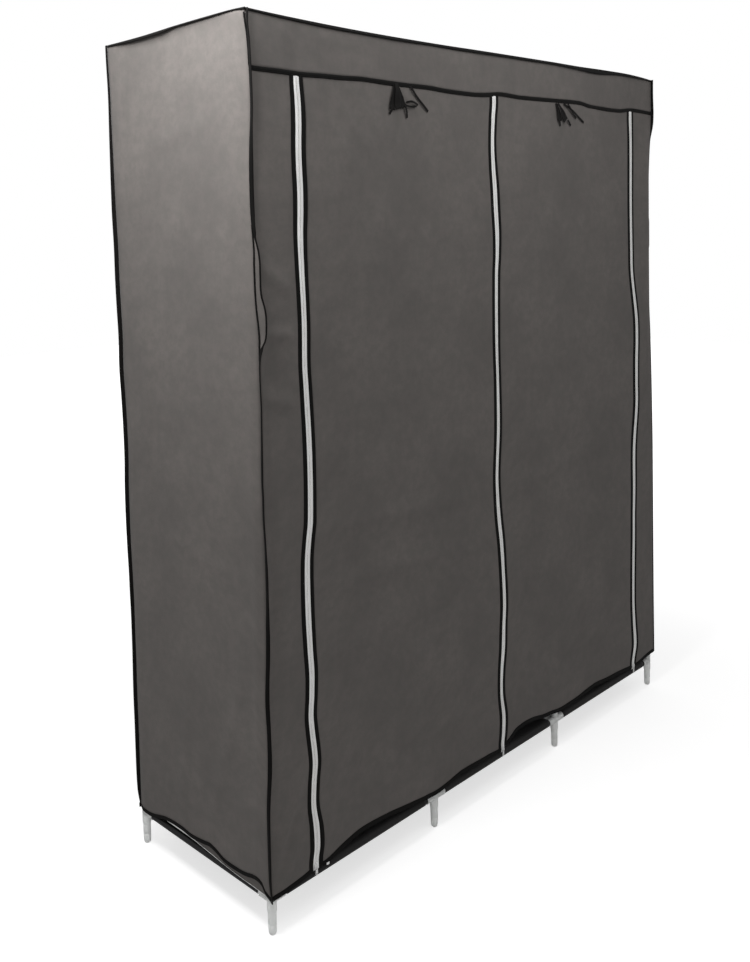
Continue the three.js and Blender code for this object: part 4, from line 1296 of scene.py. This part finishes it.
armLip = [(arm["radius"], 0.0256), (arm["lip"], 0.0264), (arm["lip"], 0.0292), (arm["lip"] - 0.0004, 0.03),
          (arm["bore"] + 0.0003, 0.03)]
armProfile = [(0.0, 0.0), (arm["radius"], 0.0), (arm["radius"], 0.0118), (arm["bead"], 0.0124),
              (arm["bead"], 0.0136), (arm["radius"], 0.0142), (arm["radius"], 0.0188), (arm["bead"], 0.0194),
              (arm["bead"], 0.0206), (arm["radius"], 0.0212), *armLip, (arm["bore"], 0.0295),
              (arm["bore"], arm["floor"]), (0.0, arm["floor"])]
sleeveProfile = mirrored([(arm["bead"], 0.0104), (arm["radius"], 0.0112), *armLip, (arm["bore"], 0.0296)])
hubProfile = mirrored([(0.0096, 0.0), (0.0089, 0.0038), (0.007, 0.0068), (0.0042, 0.0089), (0.0, 0.0096)])
pegProfile = [(0.0, 0.0), (0.004, 0.0), (0.0054, 0.0006), (0.0067, 0.0022), (0.0076, 0.0048), (0.0079, 0.008),
              (0.0081, 0.02), (0.0077, 0.0207), (0.0077, 0.0221), (0.0082, 0.0228), (0.0084, 0.0438),
              (0.0081, 0.0446), (0.0081, 0.0458), (0.0092, 0.0466), (0.0094, 0.048), (0.0095, 0.07),
              (0.0093, 0.0714), (0.0, 0.0716)]
capProfile = [(0.0, 0.0), (0.0092, 0.0), (0.0092, 0.0058), (0.0084, 0.0068), (0.0, 0.0072)]


def addTube(bm, direction, start, length):
    outer, inner, cut = tube["radius"], tube["radius"] - tube["wall"], 0.0003
    profile = [(inner, 0.0), (outer - cut, 0.0), (outer, cut), (outer, length - cut), (outer - cut, length),
               (inner, length)]
    spinShell(bm, profile, pointing(direction, start), tube["sides"])


def addArms(bm, at, directions):
    for direction in directions:
        spinShell(bm, armProfile, pointing(direction, at), arm["sides"])
    spinShell(bm, hubProfile, pointing("z", at), arm["sides"])


def levelArms(index, row):
    # the arms of a joint that lie level: one inward, and one to each neighbour in its row
    return ["y" if rows[row] < 0 else "-y"] + ["-x"] * (index > 0) + ["x"] * (index < 3)


tubeSettings = {"material": tubeSteel, "slot": "tube_steel", "creaseAngle": 40}
plasticSettings = {"material": connectorPlastic, "slot": "connector_plastic", "creaseAngle": 42}

for row, y in rows.items():
    for index, x in enumerate(columns):
        label = row.capitalize() + str(index + 1)
        bm = bmesh.new()
        spinShell(bm, pegProfile, Matrix.Translation((x, y, 0)), 32)
        addArms(bm, (x, y, levels[0]), ["z"] + levelArms(index, row))
        keepPiece("foot" + label, bm, replaces=("foot_" + row + "_" + str(index + 1),), **plasticSettings)

        tubes, joints = bmesh.new(), bmesh.new()
        for low, high in zip(levels, levels[1:]):
            addTube(tubes, "z", (x, y, low + tube["end"]), high - low - 2 * tube["end"])
        for level, height in enumerate(levels[1:-1], 1):
            inner = index in (1, 2)
            spinShell(joints, sleeveProfile, Matrix.Translation((x, y, height)), arm["sides"])
            wanted = ["x" if x < 0 else "-x"] * inner + levelArms(index, row)[:1] * (inner or level == 2)
            for direction in wanted:
                spinShell(joints, armProfile, pointing(direction, (x, y, height)), arm["sides"])
        node = ("upright_" + row + "_" + str(index + 1),)
        keepPiece("upright" + label, tubes, replaces=node, **tubeSettings)
        keepPiece("joints" + label, joints, replaces=node, **plasticSettings)

    tubes, joints = bmesh.new(), bmesh.new()
    for left, right in zip(columns, columns[1:]):
        addTube(tubes, "x", (left + tube["end"], y, levels[-1]), right - left - 2 * tube["end"])
    for index, x in enumerate(columns):
        at = (x, y, levels[-1])
        addArms(joints, at, ["-z"] + levelArms(index, row))
        if index in (0, 3):
            spinShell(joints, capProfile, pointing("-x" if x < 0 else "x", at), arm["sides"])
    node = ("top_" + row + "_tube",)
    keepPiece("top" + row.capitalize() + "Tubes", tubes, replaces=node, **tubeSettings)
    keepPiece("top" + row.capitalize() + "Joints", joints, replaces=node, **plasticSettings)

crossSpan = 2 * (column["row"] - tube["end"])
crossStart = -column["row"] + tube["end"]
crossTubes = [("topCrossTube" + str(index + 1), x, levels[-1], "top_cross_tube_" + str(index + 1))
              for index, x in enumerate(columns)]
for side, x in (("left", columns[0]), ("right", columns[-1])):
    crossTubes.append((side + "BaseTube", x, levels[0], "base_" + side + "_tube"))
    crossTubes.append((side + "MiddleTube", x, levels[2], "middle_" + side + "_tube"))
for name, x, height, node in crossTubes:
    bm = bmesh.new()
    addTube(bm, "y", (x, crossStart, height), crossSpan)
    keepPiece(name, bm, replaces=(node,), **tubeSettings)
print("tubes joined")

rail = {"height": 1.6892, "web": 0.005, "clip": 0.02}
clipProfile = mirrored([(0.0095, 0.0096), (0.0092, 0.01), (0.0082, 0.01)])
cupProfile = [(0.0, 0.0), (0.0094, 0.0), (0.0098, 0.0005), (0.0098, 0.0135), (0.0094, 0.014), (0.0083, 0.014),
              (0.0081, 0.0136), (0.0081, 0.003), (0.0, 0.003)]


def addWeb(bm, x):
    top, low = levels[-1] - 0.0088, rail["height"] - 0.0005

    def outline(turn):
        across, up = roundedRim(turn, 0.5)
        narrow = 1 - 0.22 * bump(up, 0.5)
        return across * rail["clip"] / 2 * narrow, (top + low) / 2 + up * (top - low) / 2

    part = bmesh.new()
    addPlate(part, [(outline, 36)], -rail["web"] / 2, rail["web"] / 2, (0, 0, 0), 0.0006)
    addShell(bm, part, Matrix.Translation((x, 0, 0)) @ Matrix.Rotation(math.radians(90), 4, "Z"))


for side, ends in (("left", columns[:2]), ("right", columns[2:])):
    tubes, hooks = bmesh.new(), bmesh.new()
    addTube(tubes, "x", (ends[0] + 0.0032, 0, rail["height"]), ends[1] - ends[0] - 0.0064)
    for x, direction in zip(ends, ("x", "-x")):
        spinShell(hooks, clipProfile, pointing("y", (x, 0, levels[-1])), arm["sides"])
        spinShell(hooks, cupProfile, pointing(direction, (x, 0, rail["height"])), arm["sides"])
        addWeb(hooks, x)
    keepPiece(side + "Rail", tubes, replaces=("rail_" + side,), **tubeSettings)
    keepPiece(side + "RailHooks", hooks, replaces=("rail_" + side,), **plasticSettings)
print("rails hung")


# Cloth shelves, with the tubes through their sleeves

shelfParts = {"cloth": 0.0008, "radius": 0.0088, "wrap": 205, "inset": 0.036, "cell": 0.009, "sag": 0.0042}


def wrapped(along, half):
    # a distance along the cut cloth, as a distance outward and a rise, where it runs over a tube at each end
    over, radius = abs(along) - half, shelfParts["radius"]
    if over <= 0:
        return along, radius
    return math.copysign(half + radius * math.sin(over / radius), along), radius * math.cos(over / radius)


def makeShelf(name, node, left, right, height, crossed, seed):
    reach = shelfParts["radius"] * math.radians(shelfParts["wrap"])
    middle, halfX = (left + right) / 2, (right - left) / 2
    deep = 2 * (column["row"] + reach)
    wide = 2 * (halfX + reach) if crossed else right - left - 2 * shelfParts["inset"]
    cutX, cutY = halfX - shelfParts["inset"], column["row"] - shelfParts["inset"]
    cell = min(wide, deep) / round(min(wide, deep) / shelfParts["cell"])
    bm = bmesh.new()
    sheetGrid(bm, wide, deep, cell, lambda u, v: Vector(((u - 0.5) * wide, (v - 0.5) * deep, 0.0)))
    area = wide * deep
    if crossed:
        corners = [face for face in bm.faces
                   if abs(face.calc_center_median().x) > cutX and abs(face.calc_center_median().y) > cutY]
        bmesh.ops.delete(bm, geom=corners, context="FACES")
        area = sum(face.calc_area() for face in bm.faces)
    for vert in bm.verts:
        x, riseX = wrapped(vert.co.x, halfX) if crossed else (vert.co.x, shelfParts["radius"])
        y, riseY = wrapped(vert.co.y, column["row"])
        slack = max(0.0, 1 - (x / halfX) ** 2) * max(0.0, 1 - (y / column["row"]) ** 2)
        sag = shelfParts["sag"] * slack * (1 + 0.4 * ripple(x * 6, y * 6, seed))
        fold = 0.0008 * abs(ripple(x * 14, y * 5, seed + 0.5)) * min(1.0, slack * 4)
        vert.co = (middle + x, y, height + min(riseX, riseY) - sag + fold)
    piece = newPiece(name, bm, shelfCloth)
    thicken(piece, shelfParts["cloth"], 0.0)
    carry(piece, "wardrobe", "shelf_cloth", (node,))
    tubes = bmesh.new()
    for y in rows.values():
        addTube(tubes, "x", (left + tube["end"], y, height), right - left - 2 * tube["end"])
    if crossed:
        for x in (left, right):
            addTube(tubes, "y", (x, crossStart, height), crossSpan)
    carried = keepPiece(name + "Tubes", tubes, replaces=(node,), **tubeSettings)


makeShelf("leftBaseShelf", "shelf_left_base", *columns[:2], levels[0], False, 91.0)
makeShelf("rightBaseShelf", "shelf_right_base", *columns[2:], levels[0], False, 92.0)
for index, height in enumerate(levels[:-1]):
    label = str(index + 1)
    makeShelf("middleShelf" + label, "shelf_middle_" + label, *columns[1:3], height, True, 93.0 + index)
print("shelves stretched")


# Floor and light

ground = {"size": 9.0, "grey": 0.6, "distance": (0.9, 2.6), "glow": (0.66, 1.0)}

floorPaint, tree, inputs = startMaterial("floorPaint", 0.9, Base_Color=(ground["grey"],) * 3 + (1,),
                                         Emission_Color=(1.0, 1.0, 1.0, 1))
away = addNode(tree, "ShaderNodeVectorMath", {0: coordinate(tree, "Object")}, operation="LENGTH")
glow = rangeOf(tree, away.outputs["Value"], *ground["distance"], *ground["glow"])
rays = addNode(tree, "ShaderNodeLightPath").outputs
seen = calc(tree, "MAXIMUM", rays["Is Camera Ray"], rays["Is Transmission Ray"])
tree.links.new(calc(tree, "MULTIPLY", seen, glow), inputs["Emission Strength"])
bm = bmesh.new()
bmesh.ops.create_grid(bm, x_segments=2, y_segments=2, size=ground["size"])
newPiece("floor", bm, floorPaint)

sky = {"light": 0.42, "seen": 1.0}

surround = bpy.data.worlds.new("surround")
bpy.context.scene.world = surround
surround.use_nodes = True
tree = surround.node_tree
background = tree.nodes["Background"].inputs
background["Color"].default_value = (1.0, 1.0, 1.0, 1)
rays = addNode(tree, "ShaderNodeLightPath").outputs
shown = calc(tree, "MAXIMUM", calc(tree, "MAXIMUM", rays["Is Camera Ray"], rays["Is Glossy Ray"]),
             rays["Is Transmission Ray"])
tree.links.new(rangeOf(tree, shown, 0.0, 1.0, sky["light"], sky["seen"]), background["Strength"])


lamps = {"sideLamp": {"at": (-1.25, -0.21, 2.14), "towards": (-0.75, -0.15, 1.05), "size": 0.5, "power": 21},
         "frontLamp": {"at": (-0.05, -0.95, 2.25), "towards": (-0.18, -0.2, 1.24), "size": 0.8, "power": 6.5}}

for name, settings in lamps.items():
    light = bpy.data.lights.new(name, "AREA")
    light.shape, light.size, light.energy = "SQUARE", settings["size"], settings["power"]
    lamp = bpy.data.objects.new(name, light)
    lamp.location = settings["at"]
    aim = Vector(settings["towards"]) - Vector(settings["at"])
    lamp.rotation_euler = aim.to_track_quat("-Z", "Y").to_euler()
    lamp.visible_camera = False
    bpy.context.scene.collection.objects.link(lamp)
print("lights set")
